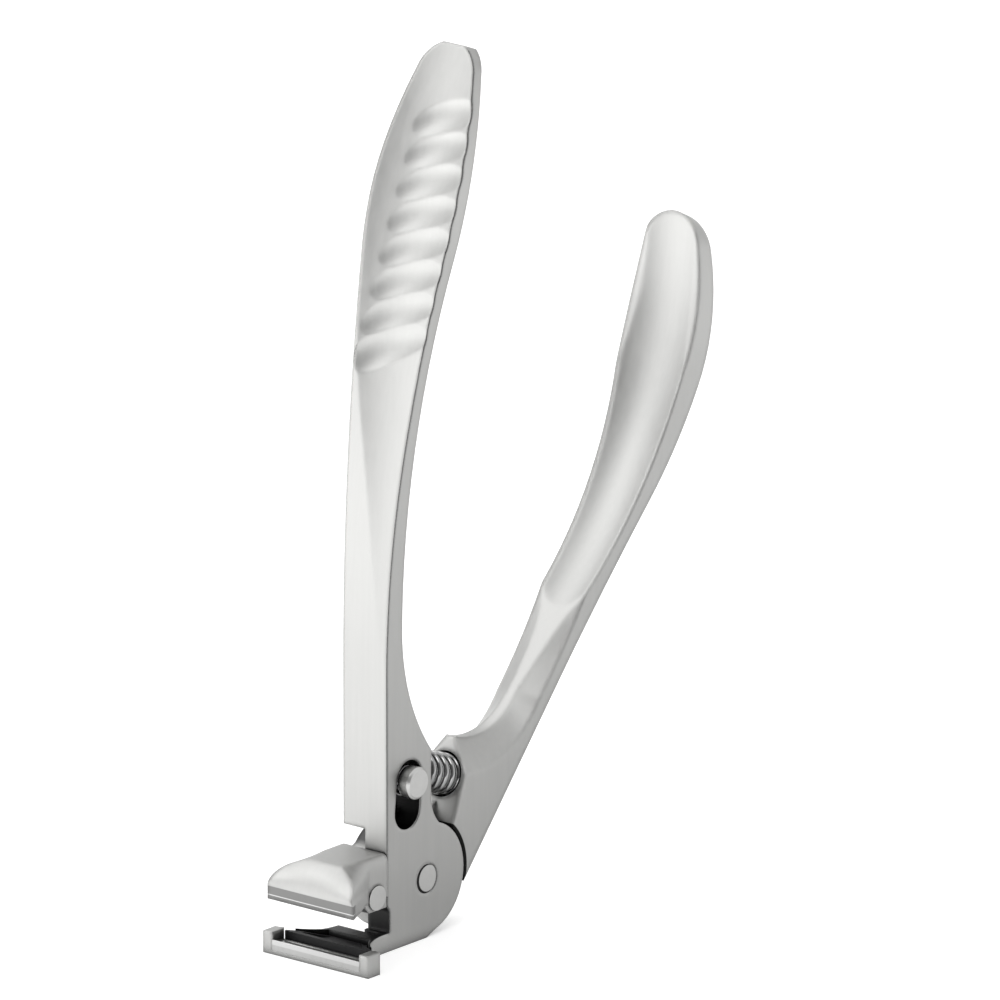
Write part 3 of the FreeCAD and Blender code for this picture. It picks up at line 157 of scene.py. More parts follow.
def metal_finish(name, dark, light, smooth, rough, grain_size, grain_depth, streak, edge, crevice=CREVICE):
    """Steel with grain, streaks, softened edges and painted shade in its gaps. Sizes are in millimetres."""
    finish, shader = new_finish(name)
    shader.inputs["Metallic"].default_value = 1.0
    place = add(finish, "ShaderNodeTexCoord")

    stretch = add(finish, "ShaderNodeMapping", Scale=(1.0, 1.0, streak))
    join(finish, place, "Object", stretch, "Vector")
    streaks = add(finish, "ShaderNodeTexNoise", Scale=1.0 / (STREAK_SIZE * MM), Detail=4.0, Roughness=0.6)
    join(finish, stretch, "Vector", streaks, "Vector")
    clouds = add(finish, "ShaderNodeTexNoise", Scale=1.0 / (CLOUD_SIZE * MM), Detail=2.0, Roughness=0.5)
    join(finish, place, "Object", clouds, "Vector")
    both = finish.node_tree.nodes.new("ShaderNodeMath")
    both.operation = "MULTIPLY_ADD"
    both.inputs[1].default_value = 0.5
    join(finish, streaks, "Fac", both, 0)
    half = finish.node_tree.nodes.new("ShaderNodeMath")
    half.operation = "MULTIPLY"
    half.inputs[1].default_value = 0.5
    join(finish, clouds, "Fac", half, 0)
    join(finish, half, "Value", both, 2)

    tone = finish.node_tree.nodes.new("ShaderNodeValToRGB")
    tone.color_ramp.elements[0].position = PATTERN_LOW
    tone.color_ramp.elements[0].color = (*dark, 1.0)
    tone.color_ramp.elements[1].position = PATTERN_HIGH
    tone.color_ramp.elements[1].color = (*light, 1.0)
    join(finish, both, "Value", tone, "Fac")
    join(finish, tone, "Color", shader, "Base Color")

    sheen = add(finish, "ShaderNodeMapRange", From_Min=PATTERN_LOW, From_Max=PATTERN_HIGH)
    sheen.inputs["To Min"].default_value = smooth
    sheen.inputs["To Max"].default_value = rough
    join(finish, both, "Value", sheen, "Value")
    join(finish, sheen, "Result", shader, "Roughness")

    rounded = add(finish, "ShaderNodeBevel", Radius=edge * MM)
    rounded.samples = NORMAL_SAMPLES
    grain = add(finish, "ShaderNodeTexNoise", Scale=1.0 / (grain_size * MM), Detail=2.0, Roughness=0.5)
    join(finish, place, "Object", grain, "Vector")
    relief = add(finish, "ShaderNodeBump", Strength=1.0, Distance=grain_depth * MM)
    join(finish, grain, "Fac", relief, "Height")
    join(finish, rounded, "Normal", relief, "Normal")
    join(finish, relief, "Normal", shader, "Normal")

    if crevice:
        # Painted shade: what is shut in within the crevice reach is coloured nearly black.
        shut_in = add(finish, "ShaderNodeAmbientOcclusion", Distance=crevice * MM)
        shut_in.samples = NORMAL_SAMPLES
        painted_gap_shade = add(finish, "ShaderNodeMapRange", From_Min=SHUT_IN, From_Max=OPEN, To_Min=1.0, To_Max=0.0)
        join(finish, shut_in, "AO", painted_gap_shade, "Value")
        recolour(finish, painted_gap_shade.outputs["Result"], PAINTED_SHADE_COLOUR)
    print(f"{name}: roughness {smooth} to {rough}, grain {grain_size} mm")
    return finish


# %% [markdown]
# The levers and jaws share one colour of steel and differ in how far their edges are tumbled: a cast lever is
# softer than a ground blade. Rivets and wire are drawn stock, so they are smoother and a little brighter or
# darker. Writing the finishes as one call each keeps their few differences in sight.

# %% Steel in seven finishes
STEEL_DARK, STEEL_LIGHT = (0.39, 0.39, 0.383), (0.44, 0.44, 0.432)
RIVET_DARK, RIVET_LIGHT = (0.50, 0.50, 0.492), (0.56, 0.56, 0.552)
BLADE_DARK, BLADE_LIGHT = (0.36, 0.36, 0.355), (0.42, 0.42, 0.415)
WIRE_DARK, WIRE_LIGHT = (0.32, 0.32, 0.32), (0.38, 0.38, 0.38)
cast = (STEEL_DARK, STEEL_LIGHT, 0.42, 0.50, 0.13, 0.0012, 0.05)
satin = metal_finish("satin_steel", *cast, edge=0.35)
soft = metal_finish("soft_steel", *cast, edge=1.2)
fluted = metal_finish("fluted_steel", *cast, edge=0.8)
rivet = metal_finish("rivet_steel", RIVET_DARK, RIVET_LIGHT, 0.30, 0.38, 0.16, 0.001, 1.0, edge=0.15)
blade = (BLADE_DARK, BLADE_LIGHT, 0.26, 0.34, 0.11, 0.0012, 0.08)
ground = metal_finish("ground_edge", *blade, edge=0.08, crevice=None)
hood = metal_finish("hood_steel", STEEL_DARK, STEEL_LIGHT, 0.40, 0.48, 0.13, 0.0012, 0.05, edge=1.0)
wire = metal_finish("bright_wire", WIRE_DARK, WIRE_LIGHT, 0.08, 0.12, 0.2, 0.0004, 1.0, edge=0.03)

# %% [markdown]
# ## The rim of the upper jaw
#
# A few places differ from the rest of their piece. The first is the rim of the upper jaw: it is coloured
# darker, with one painted highlight along it, a thin bright line. A mask made from Object coordinates keeps
# the rim on the piece in every view and needs no extra geometry.

# %% Darker rim of the hood with a painted highlight
RIM_TOP, RIM_BACK = 10.8, -41.6
RIM_COLOUR, RIM_HIGHLIGHT_COLOUR = (0.19, 0.19, 0.187), (0.55, 0.55, 0.55)
STEP_LOW, STEP_HIGH = 9.42, 9.56
hood_place = place_on(hood)
hood_x, hood_z = hood_place["X"], hood_place["Z"]
low_part = between(hood, hood_z, 0.0, RIM_TOP * MM, 0.05 * MM)
front_part = between(hood, hood_x, -1.0, RIM_BACK * MM, 0.4 * MM)
rim_part = times(hood, low_part, front_part)
recolour(hood, rim_part, RIM_COLOUR)
# Painted highlight: a thin bright line along the rim.
painted_rim_highlight = between(hood, hood_z, STEP_LOW * MM, STEP_HIGH * MM, 0.04 * MM)
recolour(hood, times(hood, rim_part, painted_rim_highlight), RIM_HIGHLIGHT_COLOUR)
print("rim of the hood: below", RIM_TOP, "mm")

# %% [markdown]
# ## The pivot rivet
#
# The near end of the rivet sits a little low on one side; the shadow this leaves is painted on as a dark
# crescent. It is what lies outside a circle beside the pivot axis, so the helper measures the distance from
# such a line.

# %% Painted shadow crescent on the pivot rivet
PIVOT_X, PIVOT_Z = -21.282, 9.0
CRESCENT_SHIFT, CRESCENT_ROUND = 0.32, 1.98
pivot_steel = rivet.copy()
pivot_steel.name = "pivot_steel"


def distance_from_pivot(finish, shift):
    """How far a point lies from the pivot axis, or from a line beside it, as a socket in metres."""
    place = add(finish, "ShaderNodeTexCoord")
    offset = add(finish, "ShaderNodeVectorMath")
    offset.operation = "SUBTRACT"
    offset.inputs[1].default_value = ((PIVOT_X + shift) * MM, 0.0, PIVOT_Z * MM)
    join(finish, place, "Object", offset, 0)
    level = add(finish, "ShaderNodeVectorMath")
    level.operation = "MULTIPLY"
    level.inputs[1].default_value = (1.0, 0.0, 1.0)
    join(finish, offset, "Vector", level, 0)
    length = add(finish, "ShaderNodeVectorMath")
    length.operation = "LENGTH"
    join(finish, level, "Vector", length, 0)
    return length.outputs["Value"]


crescent_far = distance_from_pivot(pivot_steel, CRESCENT_SHIFT)
crescent = between(pivot_steel, crescent_far, CRESCENT_ROUND * MM, 1.0, 0.06 * MM)
near_end = between(pivot_steel, place_on(pivot_steel)["Y"], -10.0 * MM, 0.0, 0.02 * MM)
# Painted shadow: the crescent on the near end is coloured nearly black.
recolour(pivot_steel, times(pivot_steel, crescent, near_end), PAINTED_SHADE_COLOUR)
print("crescent on the pivot rivet, outside", CRESCENT_ROUND, "mm")

# %% [markdown]
# ## Slot and shoulder
#
# The oblong slot for the lock is milled, and it and the pocket behind it get no light, so their shade is
# painted nearly black. The edge of the squeeze lever beside the pivot disc gets a narrow painted shadow, for
# the gap beside it. A box mask does the first and a ring round the pivot axis the second.

# %% Painted shade in the slot and on the shoulder
SLOT_LOW, SLOT_HIGH = Vector((-28.4, -3.97, 16.3)), Vector((-21.3, 0.5, 28.4))
SHOULDER_ROUND, SHOULDER_LINE = 8.7, 0.45
# Painted shade: the slot and the pocket behind it are coloured nearly black.
for finish in (fluted, soft):
    parts = place_on(finish)
    inside = between(finish, parts["X"], SLOT_LOW.x * MM, SLOT_HIGH.x * MM, 0.02 * MM)
    for axis, lowest, highest in (("Y", SLOT_LOW.y, SLOT_HIGH.y), ("Z", SLOT_LOW.z, SLOT_HIGH.z)):
        within = between(finish, parts[axis], lowest * MM, highest * MM, 0.02 * MM)
        inside = times(finish, inside, within)
    recolour(finish, inside, PAINTED_SHADE_COLOUR)
# Painted shadow: a narrow ring on the near half of the shoulder edge.
ring = distance_from_pivot(soft, 0.0)
near_half = between(soft, place_on(soft)["Y"], -5.0 * MM, 0.0, 0.02 * MM)
shadow = between(soft, ring, SHOULDER_ROUND * MM, (SHOULDER_ROUND + SHOULDER_LINE) * MM, 0.05 * MM)
recolour(soft, times(soft, shadow, near_half), PAINTED_SHADE_COLOUR)
print("slot and shoulder darkened")

# %% [markdown]
# ## A line on the front edge
#
# Where the near side of the fixed lever meets its front, the real edge shows as a fine dark line: its bevel
# mirrors a dark part of the room, and here that dark reflection is painted on. A second Bevel node finds
# edges:
# near one, its rounded direction leaves the face's own. The line is kept where the face looks to the near
# side and the rounding turns toward the front.

# %% Painted dark reflection on the front edge of the near side
EDGE_LINE, JAW_END = 1.0, -35.0
EDGE_REFLECTION_COLOUR = (0.03, 0.03, 0.03)


def face_way(finish):
    """The three parts of a face's own direction, as sockets."""
    geometry = add(finish, "ShaderNodeNewGeometry")
    parts = add(finish, "ShaderNodeSeparateXYZ")
    join(finish, geometry, "True Normal", parts, "Vector")
    return parts.outputs


line_round = add(fluted, "ShaderNodeBevel", Radius=EDGE_LINE * MM)
line_round.samples = NORMAL_SAMPLES
line_true = add(fluted, "ShaderNodeNewGeometry")
agree = add(fluted, "ShaderNodeVectorMath")
agree.operation = "DOT_PRODUCT"
join(fluted, line_round, "Normal", agree, 0)
join(fluted, line_true, "True Normal", agree, 1)
edge_line = between(fluted, agree.outputs["Value"], -1.0, 0.93, 0.04)
round_parts = add(fluted, "ShaderNodeSeparateXYZ")
join(fluted, line_round, "Normal", round_parts, "Vector")
turns_front = between(fluted, round_parts.outputs["X"], -1.1, -0.22, 0.06)
near_face = between(fluted, face_way(fluted)["Y"], -1.1, -0.5, 0.05)
behind_jaw = between(fluted, place_on(fluted)["X"], JAW_END * MM, 1.0, 0.05 * MM)
painted_edge_reflection = times(fluted, times(fluted, edge_line, turns_front), times(fluted, near_face, behind_jaw))
# Painted reflection: a fine dark line where the edge turns toward the front.
recolour(fluted, painted_edge_reflection, EDGE_REFLECTION_COLOUR)
print("edge line:", EDGE_LINE, "mm round")

# %% [markdown]
# ## Inside the lower jaw
#
# The hollow of the lower jaw and its ledge are painted black, and the throat behind them, which lies in the
# shadow of the upper jaw, gets painted shadow. They belong to the fixed lever, so three masks pick them out:
# walls that look inward, faces that look up, and what lies under the upper jaw without being part of the
# lever's sides.

# %% Black inside of the lower jaw and painted shadow in its throat
JAW_BACK, JAW_BAR = -31.4, -38.7
JAW_HALF, JAW_TOP, JAW_FLOOR = 8.65, 3.25, 0.2
LEDGE_HALF = 9.5
THROAT_FRONT, THROAT_BACK, THROAT_LOW, THROAT_TOP = -36.0, -29.5, 1.2, 7.6
JAW_BLACK, THROAT_SHADOW_COLOUR = (0.02, 0.02, 0.02), (0.05, 0.05, 0.05)
jaw_x, jaw_y, jaw_z = place_on(fluted)
jaw_way = face_way(fluted)
in_length = between(fluted, jaw_x, JAW_BAR * MM, JAW_BACK * MM, 0.03 * MM)
in_width = between(fluted, jaw_y, -JAW_HALF * MM, JAW_HALF * MM, 0.03 * MM)
in_height = between(fluted, jaw_z, JAW_FLOOR * MM, JAW_TOP * MM, 0.03 * MM)
faces_in = between(fluted, times(fluted, jaw_y, jaw_way["Y"]), -1.0, -1.0 * MM, 0.2 * MM)
painted_walls = times(fluted, times(fluted, in_length, in_width), times(fluted, in_height, faces_in))
recolour(fluted, painted_walls, JAW_BLACK)
on_ledge = between(fluted, jaw_y, -LEDGE_HALF * MM, LEDGE_HALF * MM, 0.1 * MM)
faces_up = between(fluted, jaw_way["Z"], 0.4, 1.1, 0.05)
painted_ledge = times(fluted, times(fluted, in_length, on_ledge), times(fluted, in_height, faces_up))
recolour(fluted, painted_ledge, JAW_BLACK)
in_throat = between(fluted, jaw_x, THROAT_FRONT * MM, THROAT_BACK * MM, 0.05 * MM)
low_throat = between(fluted, jaw_z, THROAT_LOW * MM, THROAT_TOP * MM, 0.8 * MM)
not_side = between(fluted, jaw_way["Y"], -0.6, 0.6, 0.05)
painted_throat_shadow = times(fluted, times(fluted, in_throat, low_throat), not_side)
# Painted shadow: the throat under the upper jaw is coloured dark.
recolour(fluted, painted_throat_shadow, THROAT_SHADOW_COLOUR)
print("black inside up to", JAW_TOP, "mm")

# %% [markdown]
# ## Neck and blade
#
# The neck that carries the upper jaw is a deep corner that gets little light, so its shade is painted dark.
# The lower blade is the other way round: its upper half is honed and a little brighter.

# %% Painted shade on the neck
NECK_LOW, NECK_HIGH = Vector((-27.9, 0.1, 13.6)), Vector((-22.0, 6.0, 20.0))
NECK_SHADE_COLOUR = (0.07, 0.07, 0.07)
neck_x, neck_y, neck_z = place_on(soft)
neck_deep = between(soft, neck_x, NECK_LOW.x * MM, NECK_HIGH.x * MM, 0.7 * MM)
neck_high = between(soft, neck_z, NECK_LOW.z * MM, NECK_HIGH.z * MM, 0.3 * MM)
neck_far = between(soft, neck_y, NECK_LOW.y * MM, NECK_HIGH.y * MM, 0.05 * MM)
neck_up = between(soft, face_way(soft)["Z"], 0.3, 1.1, 0.05)
neck_shade = times(soft, times(soft, neck_deep, neck_high), times(soft, neck_far, neck_up))
# Painted shade: the deep corner of the neck is coloured nearly black.
recolour(soft, neck_shade, NECK_SHADE_COLOUR)
print("neck shaded behind", NECK_LOW.x, "mm")

# %% Honed edge of the blade
HONED_FROM, HONED_TO = 1.5, 4.0
HONED_COLOUR = (0.50, 0.50, 0.495)
honed = between(ground, place_on(ground)["Z"], HONED_FROM * MM, HONED_TO * MM, 0.05 * MM)
recolour(ground, honed, HONED_COLOUR)
print("blade honed above", HONED_FROM, "mm")

# %% [markdown]
# ## The lining
#
# The hollow of the lower jaw also holds a black lining. It is dull and moulded, so it is not metallic: a
# soft dark grey with a fine pebbled relief keeps it from looking like a hole in the picture.

# %% Black lining
PEBBLE_SIZE, PEBBLE_RELIEF = 0.35, 0.02
lining, lining_shader = new_finish("black_lining")
lining_shader.inputs["Specular IOR Level"].default_value = 0.35
lining_place = add(lining, "ShaderNodeTexCoord")
pebbles = add(lining, "ShaderNodeTexVoronoi", Scale=1.0 / (PEBBLE_SIZE * MM))
join(lining, lining_place, "Object", pebbles, "Vector")
pebble_tone = lining.node_tree.nodes.new("ShaderNodeValToRGB")
pebble_tone.color_ramp.elements[0].color = (0.010, 0.010, 0.011, 1.0)
pebble_tone.color_ramp.elements[1].color = (0.022, 0.022, 0.023, 1.0)
join(lining, pebbles, "Distance", pebble_tone, "Fac")
join(lining, pebble_tone, "Color", lining_shader, "Base Color")
pebble_gloss = add(lining, "ShaderNodeMapRange", To_Min=0.5, To_Max=0.7)
join(lining, pebbles, "Distance", pebble_gloss, "Value")
join(lining, pebble_gloss, "Result", lining_shader, "Roughness")
pebble_relief = add(lining, "ShaderNodeBump", Strength=0.6, Distance=PEBBLE_RELIEF * MM)
join(lining, pebbles, "Distance", pebble_relief, "Height")
join(lining, pebble_relief, "Normal", lining_shader, "Normal")
print("black lining: pebbles", PEBBLE_SIZE, "mm")

# %% [markdown]
# ## Dress the CAD pieces
#
# The levers, jaws, rivets and button already have the right shape, so they stay as they are and only
# change their material slot.

# %% Assign the finishes
FINISHES = {
    "fixed_lever": fluted,
    "squeeze_lever": soft,
    "upper_jaw": hood,
    "lock_retainer": satin,
    "jaw_rivet": rivet,
    "pivot_rivet": pivot_steel,
    "lock_button": rivet,
    "lower_blade": ground,
    "catch_liner": lining,
}
for node_name, finish in FINISHES.items():
    mesh = nodes_by_name[node_name].data
    mesh.materials.clear()
    mesh.materials.append(finish)
    print(f"{node_name}: {finish.name}, {len(mesh.polygons)} faces")

# %% [markdown]
# ## Wound springs
#
# A coil spring is one wire on a path that follows a rule: so many turns at one radius while it climbs at
# a steady pitch. That is work for Geometry Nodes. The tree bends a straight line into the helix with Set
# Position, sweeps a round profile along it, and ends in Realize Instances and Set Material, because an
# exported mesh can hold neither instances nor a modifier.


# %% The winding tree
def winding_tree():
    tree = bpy.data.node_groups.new("wound_wire", "GeometryNodeTree")
    face = tree.interface
    face.new_socket("Geometry", in_out="OUTPUT", socket_type="NodeSocketGeometry")
    for name in ("Coil Radius", "Wire Radius", "Low", "High", "Turns"):
        face.new_socket(name, in_out="INPUT", socket_type="NodeSocketFloat")
    face.new_socket("Points", in_out="INPUT", socket_type="NodeSocketInt")
    face.new_socket("Sides", in_out="INPUT", socket_type="NodeSocketInt")
    face.new_socket("Wire Finish", in_out="INPUT", socket_type="NodeSocketMaterial")

    def node(kind, operation=None):
        made = tree.nodes.new(kind)
        if operation:
            made.operation = operation
        return made

    link = tree.links.new
    given = node("NodeGroupInput").outputs
    line = node("GeometryNodeCurvePrimitiveLine")
    points = node("GeometryNodeResampleCurve")
    link(line.outputs["Curve"], points.inputs["Curve"])
    link(given["Points"], points.inputs["Count"])

    along = node("GeometryNodeSplineParameter").outputs["Factor"]
    turned = node("ShaderNodeMath", "MULTIPLY")
    link(along, turned.inputs[0])
    link(given["Turns"], turned.inputs[1])
    angle = node("ShaderNodeMath", "MULTIPLY")
    link(turned.outputs[0], angle.inputs[0])
    angle.inputs[1].default_value = 2.0 * math.pi
    sides = []
    for wave in ("COSINE", "SINE"):
        swing = node("ShaderNodeMath", wave)
        link(angle.outputs[0], swing.inputs[0])
        reach = node("ShaderNodeMath", "MULTIPLY")
        link(swing.outputs[0], reach.inputs[0])
        link(given["Coil Radius"], reach.inputs[1])
        sides.append(reach)
    climb = node("ShaderNodeMapRange")
    link(along, climb.inputs["Value"])
    link(given["Low"], climb.inputs["To Min"])
    link(given["High"], climb.inputs["To Max"])
    spot = node("ShaderNodeCombineXYZ")
    link(sides[0].outputs[0], spot.inputs["X"])
    link(sides[1].outputs[0], spot.inputs["Y"])
    link(climb.outputs["Result"], spot.inputs["Z"])
    bend = node("GeometryNodeSetPosition")
    link(points.outputs["Curve"], bend.inputs["Geometry"])
    link(spot.outputs["Vector"], bend.inputs["Position"])

    round_wire = node("GeometryNodeCurvePrimitiveCircle")
    link(given["Sides"], round_wire.inputs["Resolution"])
    link(given["Wire Radius"], round_wire.inputs["Radius"])
    sweep = node("GeometryNodeCurveToMesh")
    link(bend.outputs["Geometry"], sweep.inputs["Curve"])
    link(round_wire.outputs["Curve"], sweep.inputs["Profile Curve"])
    sweep.inputs["Fill Caps"].default_value = True
    soft = node("GeometryNodeSetShadeSmooth")
    link(sweep.outputs["Mesh"], soft.inputs["Geometry"])
    real = node("GeometryNodeRealizeInstances")
    link(soft.outputs["Geometry"], real.inputs["Geometry"])
    painted = node("GeometryNodeSetMaterial")
    link(real.outputs["Geometry"], painted.inputs["Geometry"])
    link(given["Wire Finish"], painted.inputs["Material"])
    link(painted.outputs["Geometry"], node("NodeGroupOutput").inputs["Geometry"])
    return tree


winding = winding_tree()
print("winding tree:", len(winding.nodes), "nodes")

# %% [markdown]
# A modifier keeps its inputs under the sockets' identifiers, not their names, so the helper looks each
# one up. The evaluated result becomes a plain mesh, and its place goes into the mesh itself.


# %% Wind a spring
POINTS_PER_TURN, WIRE_SIDES = 40, 20


def wind(name, place, outside, wire_size, length, turns):
    """One spring as a plain mesh. Sizes are in millimetres; place is a matrix in metres."""
    host = bpy.data.objects.new(name + "_host", bpy.data.meshes.new(name + "_host"))
    bpy.context.collection.objects.link(host)
    modifier = host.modifiers.new("winding", "NODES")
    modifier.node_group = winding
    values = {
        "Coil Radius": (outside - wire_size) / 2 * MM,
        "Wire Radius": wire_size / 2 * MM,
        "Low": wire_size / 2 * MM,
        "High": (length - wire_size / 2) * MM,
        "Turns": turns,
        "Points": round(turns * POINTS_PER_TURN) + 1,
        "Sides": WIRE_SIDES,
        "Wire Finish": wire,
    }
    for item in winding.interface.items_tree:
        if item.in_out == "INPUT":
            modifier[item.identifier] = values[item.name]
    bpy.context.view_layer.update()
    drawn = host.evaluated_get(bpy.context.evaluated_depsgraph_get())
    mesh = bpy.data.meshes.new_from_object(drawn)
    mesh.name = name
    mesh.transform(place)
    spring = bpy.data.objects.new(name, mesh)
    bpy.context.collection.objects.link(spring)
    bpy.data.objects.remove(host)
    print(f"{name}: {turns} turns of {wire_size} mm wire, {len(mesh.polygons)} faces")
    return spring


# %% [markdown]
# ## The return spring
#
# It sits in two pockets above the pivot, tilted 19.5 degrees, and pushes the levers apart. One end stays
# with the fixed lever and the other rides the squeeze lever.

# %% Return spring
SPRING_TILT = math.radians(19.5)
SPRING_LENGTH = 10.8085
SPRING_OUTSIDE, SPRING_WIRE, SPRING_TURNS = 6.3, 0.85, 6.5
spring_start = Vector((-21.0689, 0.0, 25.0176)) * MM
spring_place = Matrix.Translation(spring_start) @ Matrix.Rotation(math.pi / 2 + SPRING_TILT, 4, "Y")
coil = wind("return_coil", spring_place, SPRING_OUTSIDE, SPRING_WIRE, SPRING_LENGTH, SPRING_TURNS)
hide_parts("return_spring")
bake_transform(coil)

# %% [markdown]
# ## The rings in the slot
#
# A short spring lies on the shank of the lock button, under its head. It travels with the button, so it
# rides on the lock's body.

# %% Lock spring
RING_SEAT = Vector((-25.205, -0.77, 24.768))
RING_OUTSIDE, RING_WIRE, RING_LENGTH, RING_TURNS = 4.8, 0.5, 3.16, 2.5
ring_place = Matrix.Translation(RING_SEAT * MM) @ Matrix.Rotation(math.pi / 2, 4, "X")
rings = wind("lock_rings", ring_place, RING_OUTSIDE, RING_WIRE, RING_LENGTH, RING_TURNS)
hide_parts("lock_spring")
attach(rings, "lock")

# %% [markdown]
# ## Floor and light
#
# The picture is a product shot on white. The floor is pale paper that keeps a soft shadow. Light Path
# lifts it to white for camera and transmission rays and gives glossy rays a sheet of their own brightness,
# so the satin steel has bright paper to mirror, and the lamps can stay at a plain level.


# %% Rays that see the white
def white_rays(finish):
    """1 on camera, glossy and transmission rays, 0 on the rest."""
    rays = add(finish, "ShaderNodeLightPath").outputs
    seen = combine(finish, "MAXIMUM", rays["Is Camera Ray"], rays["Is Glossy Ray"])
    return combine(finish, "MAXIMUM", seen, rays["Is Transmission Ray"])


def ramp(finish, value, start, end, low, high):
    """A value that goes from low to high while another one goes from start to end."""
    slope = add(finish, "ShaderNodeMapRange", From_Min=start, From_Max=end, To_Min=low, To_Max=high)
    finish.node_tree.links.new(value, slope.inputs["Value"])
    return slope.outputs["Result"]


def along(finish, place, way):
    """How far a place or a direction reaches along a given way."""
    reach = add(finish, "ShaderNodeVectorMath")
    reach.operation = "DOT_PRODUCT"
    reach.inputs[1].default_value = way
    finish.node_tree.links.new(place, reach.inputs[0])
    return reach.outputs["Value"]


print("light helpers ready")

# %% [markdown]
# The floor is one large sheet. For glossy rays it carries painted shadow and painted light: reflected in the
# steel it is dark near the foot of the clipper and brighter farther off and to the lit side, as the paper of
# a real table is, where the tool keeps the light away.

# %% Floor
FLOOR_REACH = 6.0
PAPER_COLOUR = (0.85, 0.85, 0.85, 1.0)
PAPER_LIFT = 0.42
LIT_WAY = (-0.77, 0.64, 0.0)
floor_mesh = bpy.data.meshes.new("floor")
corners = [(x * FLOOR_REACH, y * FLOOR_REACH, 0.0) for x, y in ((-1, -1), (1, -1), (1, 1), (-1, 1))]
floor_mesh.from_pydata(corners, [], [(0, 1, 2, 3)])
floor = bpy.data.objects.new("floor", floor_mesh)
bpy.context.collection.objects.link(floor)
paper = bpy.data.materials.new("white_paper")
paper.use_nodes = True
paper.node_tree.nodes.clear()
spot = add(paper, "ShaderNodeTexCoord").outputs["Object"]
away = add(paper, "ShaderNodeVectorMath")
away.operation = "LENGTH"
paper.node_tree.links.new(spot, away.inputs[0])
farther = ramp(paper, away.outputs["Value"], 0.02, 0.42, 0.0, 0.95)
lit_side = ramp(paper, along(paper, spot, LIT_WAY), 0.0, 0.06, 0.0, 0.8)
# Painted shadow and painted light for glossy rays: darker near the clipper, brighter far off and to the lit
# side.
glow = add(paper, "ShaderNodeMix")
glow.data_type = "FLOAT"
join(paper, add(paper, "ShaderNodeLightPath"), "Is Glossy Ray", glow, 0)
paper.node_tree.links.new(ramp(paper, white_rays(paper), 0.0, 1.0, 0.0, PAPER_LIFT), glow.inputs[2])
paper.node_tree.links.new(combine(paper, "ADD", farther, lit_side), glow.inputs[3])
lift = add(paper, "ShaderNodeEmission")
join(paper, glow, 0, lift, "Strength")
paper_sum = add(paper, "ShaderNodeAddShader")
join(paper, add(paper, "ShaderNodeBsdfDiffuse", Color=PAPER_COLOUR), "BSDF", paper_sum, 0)
join(paper, lift, "Emission", paper_sum, 1)
join(paper, paper_sum, "Shader", add(paper, "ShaderNodeOutputMaterial"), "Surface")
floor_mesh.materials.append(paper)
print("floor:", 2 * FLOOR_REACH, "m square")

# %% [markdown]
# The room is white where the camera sees it. In reflections the side toward the camera is darker, because a
# studio is darkest there, and that gives the dish of the squeeze lever its shading.

# %% World
FILL = 0.65
DARK_WAY, DARK_SIDE = (-0.82, -0.45, 0.35), 0.2
WHITE = (1.0, 1.0, 1.0, 1.0)
world = bpy.data.worlds.new("studio")
bpy.context.scene.world = world
world.use_nodes = True
world.node_tree.nodes.clear()
look = add(world, "ShaderNodeTexCoord").outputs["Generated"]
dimmed = ramp(world, along(world, look, DARK_WAY), 0.5, 0.85, 1.0, DARK_SIDE)
camera_ray = add(world, "ShaderNodeLightPath").outputs["Is Camera Ray"]
white_room = add(world, "ShaderNodeBackground", Color=WHITE)
seen_white = combine(world, "MAXIMUM", dimmed, camera_ray)
world.node_tree.links.new(seen_white, white_room.inputs["Strength"])
fill_light = add(world, "ShaderNodeBackground", Color=WHITE, Strength=FILL)
pick = add(world, "ShaderNodeMixShader")
world.node_tree.links.new(white_rays(world), pick.inputs[0])
join(world, fill_light, "Background", pick, 1)
join(world, white_room, "Background", pick, 2)
join(world, pick, "Shader", add(world, "ShaderNodeOutputWorld"), "Surface")
print("world: white where it is seen,", FILL, "as fill")

# %% [markdown]
# Five weak softboxes stand round the clipper. Metal shows what it mirrors, so each one is placed where a face
# of the tool reflects it to the camera: the flat front, the grip's tip, the lever's dish, its throat, and
# the slopes that look forward.


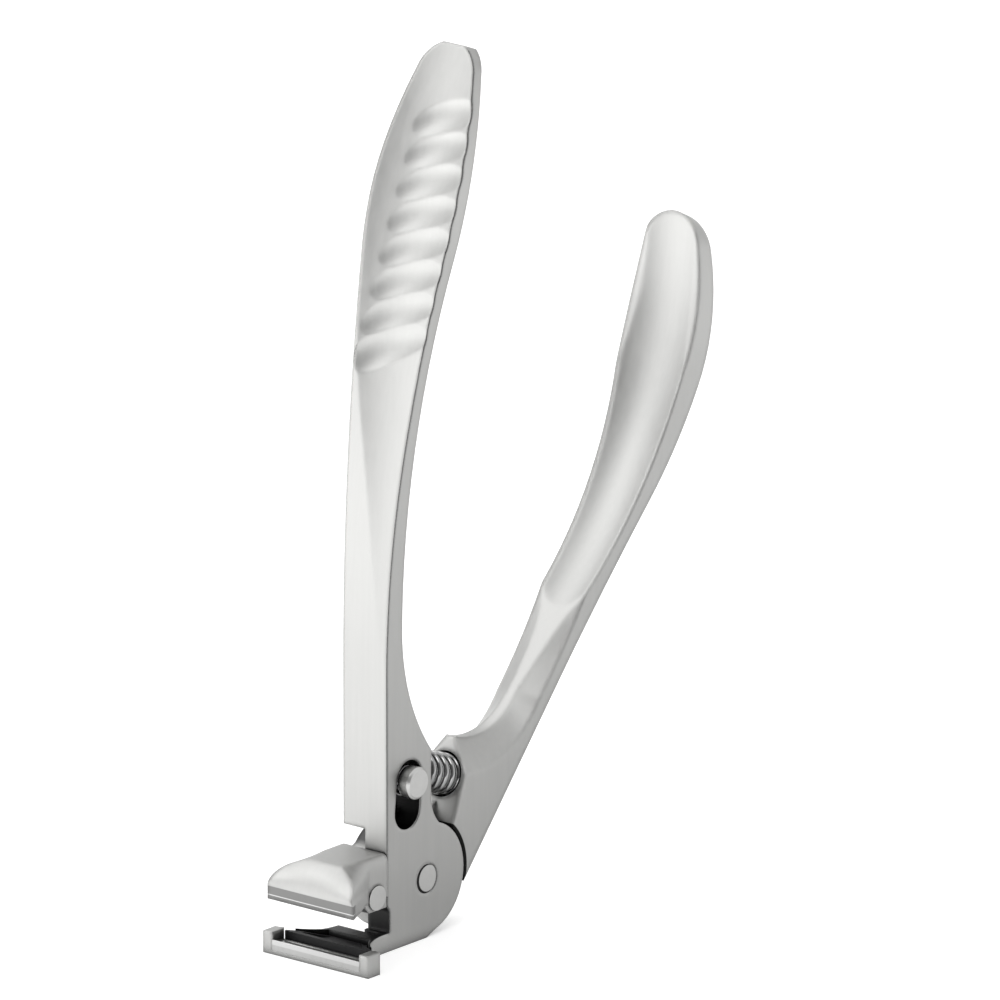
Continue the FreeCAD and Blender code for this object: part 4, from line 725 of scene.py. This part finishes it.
# %% Softboxes
MIDDLE = Vector((0.0, 0.0, 0.06))


def softbox(name, toward, distance, width, height, watts):
    """An area lamp in that direction from the middle of the clipper, facing it."""
    lamp = bpy.data.lights.new(name, "AREA")
    lamp.shape = "RECTANGLE"
    lamp.size = width
    lamp.size_y = height
    lamp.energy = watts
    held = bpy.data.objects.new(name, lamp)
    way = Vector(toward).normalized()
    held.location = MIDDLE + way * distance
    held.rotation_mode = "QUATERNION"
    held.rotation_quaternion = way.to_track_quat("Z", "Y")
    bpy.context.collection.objects.link(held)
    print(f"{name}: {width} x {height} m, {watts} W")


softbox("low_left", (-0.77, 0.61, 0.05), 0.6, 0.6, 0.24, 0.45)
softbox("mid_left", (-0.72, 0.61, 0.55), 0.8, 0.4, 0.3, 0.6)
softbox("high_left", (-0.39, 0.61, 0.69), 0.8, 0.5, 0.4, 1.0)
softbox("high_back", (0.2, 0.6, 0.77), 0.8, 0.5, 0.4, 0.9)
softbox("high_front", (-0.38, -0.28, 0.88), 0.8, 0.4, 0.4, 1.5)

# %% [markdown]
# ## The camera
#
# The photograph looks at the clipper from the front left, a little from above, through a long lens.

# %% Camera
AZIMUTH, ELEVATION = math.radians(-50.4), math.radians(16.9)
FRAME_WIDTH = 144.9 * MM
LENS, SENSOR = 800.0, 36.0
AIM = Vector((-2.2, -2.1, 61.5))
camera_data = bpy.data.cameras.new("camera")
camera_data.lens = LENS
camera_data.sensor_width = SENSOR
camera = bpy.data.objects.new("camera", camera_data)
bpy.context.collection.objects.link(camera)
aim = AIM * MM
back = Vector(
    (
        math.sin(AZIMUTH) * math.cos(ELEVATION),
        -math.cos(AZIMUTH) * math.cos(ELEVATION),
        math.sin(ELEVATION),
    )
)
camera.location = aim + back * (FRAME_WIDTH / SENSOR * LENS)
camera.rotation_mode = "QUATERNION"
camera.rotation_quaternion = (-back).to_track_quat("-Z", "Y")
bpy.context.scene.camera = camera
bpy.context.scene.view_settings.view_transform = "Standard"
print("camera distance", round((camera.location - aim).length, 3), "m")
